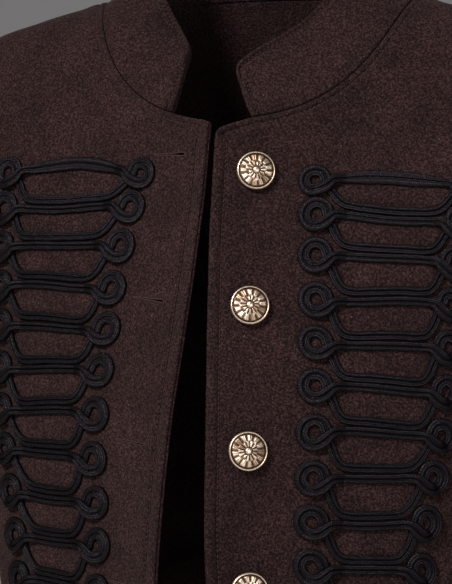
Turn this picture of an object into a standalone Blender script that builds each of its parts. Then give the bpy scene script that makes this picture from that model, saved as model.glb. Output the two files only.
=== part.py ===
"""Military jacket in thick felted wool, worn open: a hollow garment of panels, sleeves and a stand collar,
with looped braid frogs sewn on both fronts and shank buttons on the left front."""
import bpy
import numpy as np
from mathutils import Vector
from mathutils.bvhtree import BVHTree

# Cloth and seams, metres
WALL = 0.0022
COLLAR_WALL = 0.0030
SEAM_GAP = 0.0003
TRIM_GAP = 0.0006
COLLAR_GAP = 0.0006

# Torso form: one row per level ring, hem to neck.
# Heights at side, centre front and centre back; half width; front and back depth;
# half the front opening; how far the front edges stand forward.
SECTION_COLUMNS = ("z_side", "z_front", "z_back", "half_width", "front_depth", "back_depth", "half_gap", "prow")
SECTIONS = {
    "hem": (-0.600, -0.600, -0.600, 0.196, 0.116, 0.125, 0.0300, 0.034),
    "hip": (-0.520, -0.520, -0.520, 0.188, 0.110, 0.120, 0.0255, 0.042),
    "waist": (-0.405, -0.405, -0.405, 0.160, 0.096, 0.098, 0.0190, 0.052),
    "ribs": (-0.330, -0.330, -0.330, 0.165, 0.096, 0.104, 0.0146, 0.054),
    "bust": (-0.262, -0.262, -0.262, 0.176, 0.095, 0.112, 0.0112, 0.042),
    "underarm": (-0.205, -0.218, -0.205, 0.182, 0.088, 0.116, 0.0080, 0.037),
    "chest": (-0.120, -0.178, -0.145, 0.187, 0.081, 0.116, 0.0052, 0.033),
    "deltoid": (-0.062, -0.146, -0.098, 0.192, 0.072, 0.108, 0.0034, 0.034),
    "shoulder_tip": (-0.027, -0.122, -0.062, 0.183, 0.064, 0.098, 0.0024, 0.034),
    "mid_shoulder": (-0.011, -0.100, -0.025, 0.143, 0.061, 0.083, 0.0018, 0.031),
    "neck": (0.000, -0.0785, 0.008, 0.100, 0.059, 0.066, 0.0016, 0.0275),
}
LEVEL = {name: float(index) for index, name in enumerate(SECTIONS)}
SQUARENESS = 0.045
PROW_FADE = 0.042
TILT_POWER = 2.2
ARMHOLE_REACH = np.radians(34.0)

# Large soft folds in the body: angle round from centre front, height, half width, half length, lean, depth
BODY_FOLD_COLUMNS = ("around_deg", "height", "half_width", "half_length", "lean_deg", "depth")
BODY_FOLDS = (
    (46.0, -0.062, 0.016, 0.040, 62.0, -0.0030),
    (62.0, -0.395, 0.018, 0.070, 18.0, -0.0060),
    (-66.0, -0.385, 0.017, 0.080, -12.0, -0.0070),
    (-48.0, -0.560, 0.026, 0.090, 4.0, 0.0070),
    (70.0, -0.570, 0.028, 0.080, -3.0, 0.0060),
    (112.0, -0.410, 0.018, 0.065, -20.0, -0.0060),
    (-118.0, -0.400, 0.019, 0.075, 16.0, -0.0070),
    (158.0, -0.380, 0.022, 0.110, -6.0, 0.0060),
    (-160.0, -0.395, 0.020, 0.100, 8.0, 0.0050),
    (150.0, -0.575, 0.030, 0.090, 0.0, 0.0080),
    (-142.0, -0.570, 0.030, 0.085, 3.0, 0.0070),
)
FOLD_RADIUS = 0.150

# Rows of the panels, by ring level below the armhole, round the armhole and above it
ROWS_BELOW = (0.0, 0.5, 1.0, 1.34, 1.67, 2.0, 2.5, 3.0, 3.5, 4.0, 4.5)
ARMHOLE_STEPS = 9
ROWS_ABOVE = (8.5, 9.0, 9.5, 10.0)
FRONT_COLUMNS = 15
FRONT_CROWDING = 1.25
BACK_COLUMNS = 18

# Sleeve: centre line and half sizes, one row per ring station from upper arm to cuff
ARM_COLUMNS = ("across", "forward", "height", "half_side", "half_deep")
ARM = (
    (0.262, 0.004, -0.252, 0.062, 0.073),
    (0.279, 0.002, -0.325, 0.058, 0.067),
    (0.293, -0.006, -0.400, 0.055, 0.062),
    (0.303, -0.026, -0.480, 0.052, 0.058),
    (0.310, -0.052, -0.560, 0.049, 0.054),
    (0.314, -0.074, -0.620, 0.048, 0.052),
)
ARM_ROWS = 11
CAP_ROWS = 6
CAP_START = np.array((0.93, 0.0, -0.37))
CAP_PULL = 0.85
# The top and under pieces of a sleeve meet this many armhole steps from the shoulder, half a seam gap short
SLEEVE_SEAM_STEPS = 5
SLEEVE_SEAM_TURN = 0.0034
# Sleeve folds: place along the arm stations, angle round from the outside, half sizes, lean, depth
SLEEVE_FOLD_COLUMNS = ("station", "around_deg", "half_width", "half_length", "lean", "depth")
SLEEVE_FOLDS = (
    (1.7, 95.0, 0.22, 55.0, 0.30, -0.0060),
    (2.3, 80.0, 0.20, 60.0, -0.25, -0.0070),
    (3.0, 110.0, 0.22, 50.0, 0.20, -0.0050),
    (0.7, 190.0, 0.25, 60.0, -0.35, -0.0060),
)

# Stand collar
COLLAR_HEIGHT = 0.058
COLLAR_LEFT_END_HEIGHT = 0.038
COLLAR_RIGHT_END_HEIGHT = 0.0445
COLLAR_END_FADE = np.radians(9.4)
COLLAR_LEFT_END = np.radians(9.9)
COLLAR_RIGHT_END = np.radians(17.0)
COLLAR_LEFT_LEAN = np.radians(6.6)
COLLAR_RIGHT_LEAN = np.radians(-2.8)
COLLAR_LEAN = 0.578
COLLAR_BACK_LEAN = 0.28
COLLAR_BEND = 0.10
COLLAR_COLUMNS = 26
COLLAR_ROWS = (0.0, 0.10, 0.28, 0.62, 1.0)

# The neckline drops toward each front edge, in ring levels, over a share of the front
NECK_DIP = {-1: 0.06, 1: 0.34}
NECK_DIP_SHARE = 0.11
NECK_DIP_POWER = 1.4

# Braid frogs: one row per frog on each front; height of its rings and distance of the inner ring from the edge
BRAID_WIDTH = 0.0060
BRAID_CREST = 0.0044
BRAID_HEIGHT = 0.0021
RING_RADIUS = 0.0076
RING_PITCH_SHARE = 0.325
STRAND_STEP = 0.0064
FROG_ARCH = {"right": 0.0070, "left": 0.0035}
FROG_COLUMNS = ("right_height", "left_height", "right_inner", "left_inner", "right_span", "left_span")
FROGS = (
    (-0.1105, -0.1144, 0.0538, 0.0602, 0.0927, 0.0898),
    (-0.1315, -0.1350, 0.0581, 0.0624, 0.0884, 0.0869),
    (-0.1545, -0.1582, 0.0605, 0.0628, 0.0858, 0.0847),
    (-0.1787, -0.1830, 0.0620, 0.0635, 0.0830, 0.0820),
    (-0.2028, -0.2080, 0.0624, 0.0638, 0.0803, 0.0790),
    (-0.2278, -0.2333, 0.0632, 0.0638, 0.0771, 0.0765),
    (-0.2532, -0.2592, 0.0624, 0.0632, 0.0738, 0.0730),
    (-0.2790, -0.2850, 0.0616, 0.0631, 0.0692, 0.0690),
    (-0.3052, -0.3110, 0.0587, 0.0630, 0.0669, 0.0660),
    (-0.3308, -0.3370, 0.0557, 0.0625, 0.0653, 0.0635),
    (-0.3568, -0.3630, 0.0538, 0.0620, 0.0637, 0.0615),
)
LAST_PITCH = 0.0260

# Buttons on the left front
BUTTON_RADIUS = 0.0110
BUTTON_FROM_EDGE = 0.0250
BUTTON_HEIGHTS = (-0.1095, -0.1880, -0.2708, -0.3500, -0.4300)
# Turned profile of a button: radius share, height above the cloth
BUTTON_PROFILE = (
    (0.0, 0.0064),
    (0.24, 0.0059),
    (0.32, 0.0052),
    (0.80, 0.0041),
    (0.92, 0.0048),
    (1.0, 0.0036),
    (0.90, 0.0024),
    (0.30, 0.0020),
    (0.27, 0.0),
)
BUTTON_SEGMENTS = 14

SAMPLE_ROWS = 241
SAMPLE_COLUMNS = 121


def table(rows):
    """Turns rows of numbers into an array."""
    return np.array(list(rows), dtype=float)


def spline(rows, place):
    """Smooth curve through the rows of a table, at a place counted in rows."""
    place = np.asarray(place, dtype=float)
    last = len(rows) - 1
    low = np.clip(np.floor(place).astype(int), 0, last - 1)
    part = (place - low)[..., None]
    before = rows[np.maximum(low - 1, 0)]
    start = rows[low]
    end = rows[low + 1]
    after = rows[np.minimum(low + 2, last)]
    curve = 2.0 * start + (end - before) * part
    curve = curve + (2.0 * before - 5.0 * start + 4.0 * end - after) * part ** 2
    return 0.5 * (curve + (3.0 * start - before - 3.0 * end + after) * part ** 3)


SECTION_TABLE = table(SECTIONS.values())


def section(level):
    """Named ring sizes at a level, as a dictionary of arrays."""
    values = spline(SECTION_TABLE, level)
    return {name: values[..., index] for index, name in enumerate(SECTION_COLUMNS)}


def form(around, level):
    """Point on the plain torso form, by angle round from centre front and ring level."""
    ring = section(level)
    across = (np.sin(around) + SQUARENESS * np.sin(3.0 * around)) / (1.0 - SQUARENESS)
    along = (np.cos(around) - SQUARENESS * np.cos(3.0 * around)) / (1.0 - SQUARENESS)
    fore = np.maximum(along, 0.0)
    aft = np.maximum(-along, 0.0)
    x = ring["half_width"] * across
    prow = ring["prow"] * np.exp(-np.abs(x) / PROW_FADE) * fore ** 2
    y = ring["back_depth"] * aft - ring["front_depth"] * fore - prow
    z = ring["z_side"] + (ring["z_front"] - ring["z_side"]) * fore ** TILT_POWER
    z = z + (ring["z_back"] - ring["z_side"]) * aft ** TILT_POWER
    return np.stack(np.broadcast_arrays(x, y, z), axis=-1)


def unit(vectors):
    """Vectors of length one."""
    return vectors / np.linalg.norm(vectors, axis=-1, keepdims=True)


def surface_normal(surface, around, level):
    """Outward direction of a surface of angle and level."""
    step = 1e-3
    by_angle = surface(around + step, level) - surface(around - step, level)
    by_level = surface(around, level + step) - surface(around, level - step)
    return unit(np.cross(by_angle, by_level))


def body(around, level):
    """Torso form with its large soft folds laid on along the form's normal."""
    point = form(around, level)
    depth = np.zeros(point.shape[:-1])
    for row in BODY_FOLDS:
        fold = dict(zip(BODY_FOLD_COLUMNS, row))
        turn = (np.degrees(around) - fold["around_deg"] + 180.0) % 360.0 - 180.0
        side = np.radians(turn) * FOLD_RADIUS
        rise = point[..., 2] - fold["height"]
        lean = np.radians(fold["lean_deg"])
        across = side * np.cos(lean) - rise * np.sin(lean)
        length = side * np.sin(lean) + rise * np.cos(lean)
        shape = (across / fold["half_width"]) ** 2 + (length / fold["half_length"]) ** 2
        depth = depth + fold["depth"] * np.exp(-shape)
    return point + depth[..., None] * surface_normal(form, around, level)


def armhole_share(level):
    """Share of the armhole's full reach at a level, nought outside the armhole."""
    low = LEVEL["underarm"]
    high = LEVEL["shoulder_tip"]
    place = np.clip((2.0 * level - low - high) / (high - low), -1.0, 1.0)
    return np.sqrt(np.maximum(1.0 - place ** 2, 0.0))


def seam_angle(level):
    """Angle of half the seam gap, at the side and shoulder seams."""
    step = 1e-3
    run = form(np.pi / 2.0 + step, level) - form(np.pi / 2.0 - step, level)
    return 0.5 * SEAM_GAP * 2.0 * step / np.linalg.norm(run, axis=-1)


def panel_rows():
    """Ring levels of the panel rows, even round the armhole."""
    turn = np.linspace(np.pi, 0.0, ARMHOLE_STEPS + 1)
    middle = 0.5 * (LEVEL["underarm"] + LEVEL["shoulder_tip"])
    half = 0.5 * (LEVEL["shoulder_tip"] - LEVEL["underarm"])
    return np.concatenate((ROWS_BELOW, middle + half * np.cos(turn), ROWS_ABOVE))


def edge_angle(level):
    """Angle round of a front edge from centre front."""
    ring = section(level)
    return ring["half_gap"] * (1.0 - SQUARENESS) / (ring["half_width"] * (1.0 + 3.0 * SQUARENESS))


def front_angle(share, level):
    """Angle round at a share of the way from the front edge to the armhole or side seam."""
    start = edge_angle(level)
    stop = np.pi / 2.0 - seam_angle(level) - ARMHOLE_REACH * armhole_share(level)
    return start + share * (stop - start)


def front_grid(side, shares, levels):
    """Outer points and normals of a front, columns running toward +X."""
    share, level = np.meshgrid(shares, levels)
    level[-1] -= NECK_DIP[side] * np.maximum(1.0 - shares / NECK_DIP_SHARE, 0.0) ** NECK_DIP_POWER
    around = side * front_angle(share, level)
    points = body(around, level)
    normals = surface_normal(body, around, level)
    if side < 0:
        return points[:, ::-1], normals[:, ::-1]
    return points, normals


def back_grid(levels):
    """Outer points and normals of the back, side seam to side seam."""
    share, level = np.meshgrid(np.linspace(0.0, 1.0, BACK_COLUMNS + 1), levels)
    start = np.pi / 2.0 + seam_angle(level) + ARMHOLE_REACH * armhole_share(level)
    around = start + share * 2.0 * (np.pi - start)
    return body(around, level), surface_normal(body, around, level)


def grid_triangles(rows, columns, offset, flip):
    """Triangles of a grid of points."""
    faces = []
    for row in range(rows - 1):
        for column in range(columns - 1):
            a = offset + row * columns + column
            b = a + 1
            c = b + columns
            d = a + columns
            if flip:
                faces.extend(((a, c, b), (a, d, c)))
            else:
                faces.extend(((a, b, c), (a, c, d)))
    return faces


def rim_faces(rows, columns):
    """Faces that close the edges between the outer and inner points."""
    inner = rows * columns
    loop = [column for column in range(columns)]
    loop += [row * columns + columns - 1 for row in range(1, rows)]
    loop += [(rows - 1) * columns + column for column in reversed(range(columns - 1))]
    loop += [row * columns for row in reversed(range(1, rows - 1))]
    faces = []
    for start, end in zip(loop, loop[1:] + loop[:1]):
        faces.extend(((end, start, start + inner), (end, start + inner, end + inner)))
    return faces


def finish(name):
    """Plain material of a sub-part by its kind."""
    kind = name.split("_")[0]
    shades = {
        "frog": ((0.010, 0.010, 0.012, 1.0), 0.55, 0.0),
        "button": ((0.150, 0.105, 0.060, 1.0), 0.38, 1.0),
    }
    colour, roughness, metallic = shades.get(kind, ((0.036, 0.023, 0.020, 1.0), 0.95, 0.0))
    material = bpy.data.materials.new(name + "_finish")
    material.use_nodes = True
    shader = material.node_tree.nodes["Principled BSDF"]
    shader.inputs["Base Color"].default_value = colour
    shader.inputs["Roughness"].default_value = roughness
    shader.inputs["Metallic"].default_value = metallic
    return material


def add_solid(name, points, faces):
    """Named object from points and faces."""
    mesh = bpy.data.meshes.new(name)
    mesh.from_pydata([tuple(map(float, point)) for point in points], [], faces)
    mesh.materials.append(finish(name))
    mesh.update()
    solid = bpy.data.objects.new(name, mesh)
    bpy.context.scene.collection.objects.link(solid)
    return solid


def add_wall(name, outer, normals, thickness):
    """Cloth wall from a grid of outer points, its inner face moved in along the normals."""
    rows, columns = outer.shape[:2]
    inner = outer - thickness * normals
    points = np.concatenate((outer.reshape(-1, 3), inner.reshape(-1, 3)))
    faces = grid_triangles(rows, columns, 0, False)
    faces += grid_triangles(rows, columns, rows * columns, True)
    faces += rim_faces(rows, columns)
    return add_solid(name, points, faces)


def sleeve_frames(station):
    """Centre, outward axis, forward axis and half sizes of the arm rings."""
    rows = table(ARM)
    values = spline(rows, station)
    run = unit(spline(rows, station + 0.01)[..., :3] - spline(rows, station - 0.01)[..., :3])
    fore = unit(np.cross(run, np.array((1.0, 0.0, 0.0))))
    out = unit(np.cross(fore, run))
    return values[..., :3], out, fore, values[..., 3], values[..., 4], run


def armhole(turn):
    """Points and normals round the left armhole, by angle from the shoulder."""
    middle = 0.5 * (LEVEL["underarm"] + LEVEL["shoulder_tip"])
    half = 0.5 * (LEVEL["shoulder_tip"] - LEVEL["underarm"])
    level = middle + half * np.cos(turn)
    around = np.pi / 2.0 - ARMHOLE_REACH * np.sin(turn)
    return body(around, level), surface_normal(body, around, level)


def sleeve_grid(turn):
    """Outer points of the left sleeve at angles round from the outside, from the armhole to the cuff."""
    hole, normal = armhole(turn)
    centre = armhole(np.linspace(0.0, 2.0 * np.pi, 2 * ARMHOLE_STEPS, endpoint=False))[0].mean(axis=0)
    inward = centre - hole
    inward = inward - np.sum(inward * normal, axis=-1, keepdims=True) * normal
    start = hole + 1.5 * SEAM_GAP * unit(inward)
    station = np.linspace(0.0, len(ARM) - 1.0, ARM_ROWS)
    mid, out, fore, half_side, half_deep, run = sleeve_frames(station)
    cosine = np.cos(turn)[None, :, None]
    sine = np.sin(turn)[None, :, None]
    arm = mid[:, None, :] + half_side[:, None, None] * cosine * out[:, None, :]
    arm = arm + half_deep[:, None, None] * sine * fore[:, None, :]
    depth = np.zeros(arm.shape[:2])
    for row in SLEEVE_FOLDS:
        fold = dict(zip(SLEEVE_FOLD_COLUMNS, row))
        round_by = (np.degrees(turn)[None, :] - fold["around_deg"] + 180.0) % 360.0 - 180.0
        down = station[:, None] - fold["station"] - fold["lean"] * round_by / 60.0
        depth = depth + fold["depth"] * np.exp(
            -(down / fold["half_width"]) ** 2 - (round_by / fold["half_length"]) ** 2
        )
    arm = arm + depth[..., None] * unit(arm - mid[:, None, :])
    gap = np.linalg.norm(arm[0] - start, axis=-1, keepdims=True)
    begin = CAP_PULL * gap * unit(CAP_START)
    close = CAP_PULL * gap * run[0]
    share = np.linspace(0.0, 1.0, CAP_ROWS + 1)[:-1, None, None]
    cap = (1.0 + 2.0 * share) * (1.0 - share) ** 2 * start + share * (1.0 - share) ** 2 * begin
    cap = cap + share ** 2 * (3.0 - 2.0 * share) * arm[0] - share ** 2 * (1.0 - share) * close
    return np.concatenate((cap, arm))


def sleeve_piece(first, last):
    """Outer points and normals of one piece of the left sleeve, between two armhole steps."""
    turn = np.arange(first - 1, last + 2) * np.pi / ARMHOLE_STEPS
    turn[1] += SLEEVE_SEAM_TURN
    turn[-2] -= SLEEVE_SEAM_TURN
    grid = sleeve_grid(turn)
    normals = unit(np.cross(np.gradient(grid, axis=1), np.gradient(grid, axis=0)))
    return grid[:, 1:-1], normals[:, 1:-1]


def add_sleeves():
    """Top and under pieces of both sleeves, the right ones mirrored."""
    mirror = np.array((-1.0, 1.0, 1.0))
    stretches = {
        "top": (-SLEEVE_SEAM_STEPS, SLEEVE_SEAM_STEPS),
        "under": (SLEEVE_SEAM_STEPS, 2 * ARMHOLE_STEPS - SLEEVE_SEAM_STEPS),
    }
    for label, (first, last) in stretches.items():
        points, normals = sleeve_piece(first, last)
        add_wall("sleeve_left_" + label, points, normals, WALL)
        add_wall("sleeve_right_" + label, points[:, ::-1] * mirror, normals[:, ::-1] * mirror, WALL)


def collar_grid():
    """Outer points and normals of the collar band, left end round the back to the right end."""
    share, rise = np.meshgrid(np.linspace(0.0, 1.0, COLLAR_COLUMNS + 1), np.array(COLLAR_ROWS))
    start = COLLAR_LEFT_END - COLLAR_LEFT_LEAN * rise
    stop = 2.0 * np.pi - COLLAR_RIGHT_END + COLLAR_RIGHT_LEAN * rise

    def band(place, height):
        around = start + place * (stop - start)
        level = np.full_like(around, LEVEL["neck"])
        foot = form(around, level)
        grain = unit(foot - form(around, level - 0.02))
        lean = COLLAR_LEAN + (COLLAR_BACK_LEAN - COLLAR_LEAN) * np.maximum(-np.cos(around), 0.0)
        up = unit(np.stack((-lean * np.sin(around), lean * np.cos(around), np.ones_like(around)), axis=-1))
        turn = COLLAR_BEND * (1.0 - np.exp(-height / COLLAR_BEND))[..., None]
        tall = COLLAR_HEIGHT
        tall = tall - (COLLAR_HEIGHT - COLLAR_LEFT_END_HEIGHT) * np.exp((start - around) / COLLAR_END_FADE)
        tall = tall - (COLLAR_HEIGHT - COLLAR_RIGHT_END_HEIGHT) * np.exp((around - stop) / COLLAR_END_FADE)
        rise_by = height[..., None] * up + turn * (grain - up)
        return foot + COLLAR_GAP * grain + tall[..., None] * rise_by

    step = 1e-3
    points = band(share, rise)
    by_place = band(share + step, rise) - band(share - step, rise)
    by_height = band(share, rise + step) - band(share, rise - step)
    return points, unit(np.cross(by_place, by_height))


class FrontMap:
    """Places on a front by distance from its edge and height, and the faces it was built with."""

    def __init__(self, side, points, faces):
        share, level = np.meshgrid(
            np.linspace(0.0, 1.0, SAMPLE_COLUMNS) ** 1.3, np.linspace(0.0, LEVEL["neck"], SAMPLE_ROWS)
        )
        around = side * front_angle(share, level)
        self.side = side
        self.samples = body(around, level)
        self.angles = around
        self.levels = level
        self.tree = BVHTree.FromPolygons([Vector(point) for point in points], faces)

    def at_height(self, height):
        """Points, angles and levels of the line that runs along one height, with distance from the edge."""
        columns = range(SAMPLE_COLUMNS)
        rise = self.samples[..., 2]
        points = np.stack([
            np.stack([np.interp(height, rise[:, c], self.samples[:, c, axis]) for c in columns])
            for axis in range(3)
        ], axis=-1)
        angles = np.array([np.interp(height, rise[:, c], self.angles[:, c]) for c in columns])
        levels = np.array([np.interp(height, rise[:, c], self.levels[:, c]) for c in columns])
        steps = np.linalg.norm(np.diff(points, axis=0), axis=-1)
        return np.concatenate(((0.0,), np.cumsum(steps))), angles, levels

    def place(self, distance, height):
        """Smooth point and normal at a distance from the edge and a height."""
        run, angles, levels = self.at_height(height)
        around = np.interp(distance, run, angles)
        level = np.interp(distance, run, levels)
        return body(around, level), surface_normal(body, around, level)

    def seat(self, point, normal):
        """Point moved along the normal onto the faces of the front."""
        origin = Vector(point + 0.02 * normal)
        hit = self.tree.ray_cast(origin, Vector(-normal), 0.05)[0]
        return np.array(hit)


def arc(radius, start_deg, stop_deg, count):
    """Points of the ring's centre line between two angles."""
    turn = np.radians(np.linspace(start_deg, stop_deg, count))
    return [(radius * np.cos(t), radius * np.sin(t), 0.0) for t in turn]


def frog_end(drop, aside):
    """Centre line of one end of a frog, from the top bar round the ring to the bottom bar.

    Each point is distance from the ring centre, rise, and share of the lift over the under strand.
    The strand to the bottom bar leans aside where the next frog's ring stands further in.
    """
    radius = min(RING_RADIUS, RING_PITCH_SHARE * (drop + STRAND_STEP))
    way = [(0.0185, 0.0, 0.0), (0.0144, -0.0001, 0.6), (0.0111, -0.0009, 1.0), (0.0075, -0.52 * radius, 1.0)]
    way += [(0.62 * radius, -0.84 * radius, 1.0), (0.07 * radius, -radius, 0.75)]
    way += arc(radius, -125.0, -356.0, 7)
    way += [(0.0076, -0.0045, 0.0), (0.0091 + 0.4 * aside, -0.5 * drop, 0.0)]
    way += [(0.0122 + 0.8 * aside, -0.78 * drop, 0.0), (0.0160 + aside, -0.95 * drop, 0.0)]
    way += [(0.0210 + aside, -drop, 0.0)]
    return way


def frog_path(span, drop, arch, asides):
    """Closed centre line of a frog: top bar, inner end, bottom bar, outer end."""
    inner = frog_end(drop, asides[0])
    outer = [(span - p, q, lift) for p, q, lift in reversed(frog_end(drop, asides[1]))]
    bars = np.linspace(inner[-1][0], outer[0][0], 5)[1:-1]
    bottom = [(p, -drop, 0.0) for p in bars]
    top = [(p, 0.0, 0.0) for p in np.linspace(outer[-1][0], inner[0][0], 5)[1:-1]]
    path = np.array(inner + bottom + outer + top)
    length = np.clip(path[:, 0] / span, 0.0, 1.0)
    on_top = path[:, 1] > -0.2 * drop
    path[:, 1] += arch * np.sin(np.pi * length) ** 1.5 * on_top * (np.abs(path[:, 0] - 0.5 * span) < 0.5 * span)
    return path


def add_frog(name, front, inner, height, path):
    """Braid strip swept along a frog's centre line, seated on the front's faces."""
    placed = [front.place(inner + p, height + q) for p, q, lift in path]
    centre = np.array([point for point, normal in placed])
    normal = np.array([direction for point, direction in placed])
    along = np.roll(centre, -1, axis=0) - np.roll(centre, 1, axis=0)
    side = unit(np.cross(normal, along))
    raise_by = TRIM_GAP + path[:, 2:3] * (BRAID_HEIGHT + TRIM_GAP)
    feet = []
    for sign in (-0.5, 0.5):
        rim = centre + sign * BRAID_WIDTH * side
        feet.append(np.array([front.seat(p, n) for p, n in zip(rim, normal)]) + raise_by * normal)
    narrow = 0.5 * (BRAID_WIDTH - BRAID_CREST) * side
    rings = np.stack((feet[0], feet[1], feet[1] - narrow + BRAID_HEIGHT * normal,
                      feet[0] + narrow + BRAID_HEIGHT * normal), axis=1)
    count = len(path)
    faces = []
    for row in range(count):
        for column in range(4):
            a = row * 4 + column
            b = row * 4 + (column + 1) % 4
            c = ((row + 1) % count) * 4 + (column + 1) % 4
            d = ((row + 1) % count) * 4 + column
            faces.extend(((a, b, c), (a, c, d)))
    return add_solid(name, rings.reshape(-1, 3), faces)


def add_frogs(label, side, front):
    """All the frogs of one front."""
    rows = [dict(zip(FROG_COLUMNS, row)) for row in FROGS]
    heights = [row[label + "_height"] for row in rows]
    heights.append(heights[-1] - LAST_PITCH)
    for index, row in enumerate(rows):
        below = rows[min(index + 1, len(rows) - 1)]
        inner = row[label + "_inner"]
        span = row[label + "_span"]
        inner_step = below[label + "_inner"] - inner
        outer_step = span - below[label + "_span"] - inner_step
        asides = (max(inner_step, 0.0), max(outer_step, 0.0))
        drop = heights[index] - heights[index + 1] - STRAND_STEP
        path = frog_path(span, drop, FROG_ARCH[label] if index == 0 else 0.0, asides)
        add_frog("frog_%s_%02d" % (label, index + 1), front, inner, heights[index], path)


def add_button(name, front, height):
    """Turned button on the left front, its shank just clear of the cloth."""
    point, normal = front.place(BUTTON_FROM_EDGE, height)
    foot = front.seat(point, normal) + TRIM_GAP * normal
    right = unit(np.cross(np.array((0.0, 0.0, 1.0)), normal))
    up = np.cross(normal, right)
    turn = np.linspace(0.0, 2.0 * np.pi, BUTTON_SEGMENTS, endpoint=False)
    ring = np.cos(turn)[:, None] * right + np.sin(turn)[:, None] * up
    points = [foot + BUTTON_PROFILE[0][1] * normal]
    for share, rise in BUTTON_PROFILE[1:]:
        points.extend(foot + share * BUTTON_RADIUS * ring + rise * normal)
    points.append(foot)
    faces = []
    rings = len(BUTTON_PROFILE) - 1
    for column in range(BUTTON_SEGMENTS):
        beside = (column + 1) % BUTTON_SEGMENTS
        faces.append((0, 1 + column, 1 + beside))
        for row in range(rings - 1):
            low = 1 + row * BUTTON_SEGMENTS
            high = low + BUTTON_SEGMENTS
            faces.append((low + column, high + column, high + beside))
            faces.append((low + column, high + beside, low + beside))
        last = 1 + (rings - 1) * BUTTON_SEGMENTS
        faces.append((len(points) - 1, last + beside, last + column))
    return add_solid(name, points, faces)


def build():
    """Builds every sub-part of the jacket."""
    for old in list(bpy.data.objects):
        bpy.data.objects.remove(old)
    levels = panel_rows()
    shares = np.linspace(0.0, 1.0, FRONT_COLUMNS + 1) ** FRONT_CROWDING
    fronts = {}
    for label, side in (("right", -1), ("left", 1)):
        points, normals = front_grid(side, shares, levels)
        add_wall("front_" + label, points, normals, WALL)
        faces = grid_triangles(points.shape[0], points.shape[1], 0, False)
        fronts[label] = FrontMap(side, points.reshape(-1, 3), faces)
        add_frogs(label, side, fronts[label])
    points, normals = back_grid(levels)
    add_wall("back", points, normals, WALL)
    add_sleeves()
    points, normals = collar_grid()
    add_wall("collar", points, normals, COLLAR_WALL)
    for index, height in enumerate(BUTTON_HEIGHTS):
        add_button("button_%d" % (index + 1), fronts["left"], height)


build()
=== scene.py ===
"""Dressed military jacket: wool panels, braid frogs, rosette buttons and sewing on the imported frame."""
import logging
from dataclasses import dataclass, field
from enum import Enum
from math import radians
from typing import Callable, Sequence

import bpy
import numpy as np
from mathutils import Matrix, Vector


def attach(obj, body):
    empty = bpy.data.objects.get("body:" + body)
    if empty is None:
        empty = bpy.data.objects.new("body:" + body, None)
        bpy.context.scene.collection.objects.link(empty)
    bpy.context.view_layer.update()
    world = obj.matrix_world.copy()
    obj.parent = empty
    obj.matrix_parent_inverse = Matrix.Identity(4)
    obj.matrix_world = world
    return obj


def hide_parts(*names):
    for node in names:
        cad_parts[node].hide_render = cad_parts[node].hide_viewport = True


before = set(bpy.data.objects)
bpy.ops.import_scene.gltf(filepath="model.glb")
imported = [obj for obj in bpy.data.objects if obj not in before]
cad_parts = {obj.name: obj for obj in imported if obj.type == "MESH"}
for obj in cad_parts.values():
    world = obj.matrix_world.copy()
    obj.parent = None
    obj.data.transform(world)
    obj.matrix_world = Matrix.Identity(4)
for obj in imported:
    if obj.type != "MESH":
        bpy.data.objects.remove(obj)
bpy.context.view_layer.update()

LOG = logging.getLogger("military_jacket")
Array = np.ndarray
Surface = Callable[[Array, Array], Array]
Pair = tuple[Array, Array]
Size = tuple[float, float]
Span = tuple[float, float, int]
Triple = tuple[float, float, float]
Table = tuple[tuple[float, ...], ...]
Socket = bpy.types.NodeSocket
Material = bpy.types.Material
Piece = bpy.types.Object

ROOT = "root"
FULL_TURN = 2.0 * np.pi
SIDE_ANGLE = 0.5 * np.pi
SLOPE_STEP = 1e-3
WALL = 0.0022
COLLAR_WALL = 0.0030
SEAM_GAP = 0.0003
HEM_LINE = 0.0160
NECK_LINE = 0.0044
PANEL_SINK = 0.0007
# Height, middle and half width of the bells that shape the cloth by an edge
NECK_BELLS = ((0.00070, 0.0022, 0.0017), (-0.00120, NECK_LINE, 0.0009))
HEM_BELLS = ((0.0003, 0.5 * HEM_LINE, 0.006), (-0.0006, HEM_LINE, 0.0011))
SWELL_BELLS = ((0.0009, 0.0085, 0.0045),)


class Slot(Enum):
    """Material slots of the record."""

    WOOL = "wool"
    BRAID = "braid"
    BRASS = "brass"


class Side(Enum):
    """Sides of the wearer, by the sign of X."""

    RIGHT = -1
    LEFT = 1

    @property
    def label(self) -> str:
        """Side in lower case, as the nodes spell it."""
        return self.name.lower()


class Hold(Enum):
    """How a sheet is held."""

    HUNG = "hung"
    FOLDED = "folded"


class EdgeKind(Enum):
    """Finish of a cloth edge: round-over radius, and depth of the line between its two layers; at a seam
    the line stands out toward the next piece instead."""

    SEAM = (0.0005, -0.00014)
    SET_IN = (0.0002, -0.00015)
    TURNED = (0.0010, 0.0)
    FACED = (0.0010, 0.0026)

    @property
    def radius(self) -> float:
        """Round-over radius."""
        return self.value[0]

    @property
    def groove(self) -> float:
        """Depth of the line between the layers."""
        return self.value[1]


def unit(vectors: Array) -> Array:
    """Vectors divided by their lengths."""
    return vectors / np.linalg.norm(vectors, axis=-1, keepdims=True)


def spline(rows: Array, place: Array) -> Array:
    """Smooth curve through the rows of a table: an even cubic whose slope at a row is half the step
    from the row before to the row after.

    Args:
        rows: Table, one row per knot.
        place: Where to read it, counted in rows.

    Returns:
        Values at each place, with the table's columns on the last axis.
    """
    place = np.asarray(place, dtype=float)
    last = len(rows) - 1
    low = np.clip(np.floor(place).astype(int), 0, last - 1)
    part = (place - low)[..., None]
    before, start = rows[np.maximum(low - 1, 0)], rows[low]
    end, after = rows[low + 1], rows[np.minimum(low + 2, last)]
    curve = 2.0 * start + (end - before) * part
    curve = curve + (2.0 * before - 5.0 * start + 4.0 * end - after) * part ** 2
    return 0.5 * (curve + (3.0 * start - before - 3.0 * end + after) * part ** 3)


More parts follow.
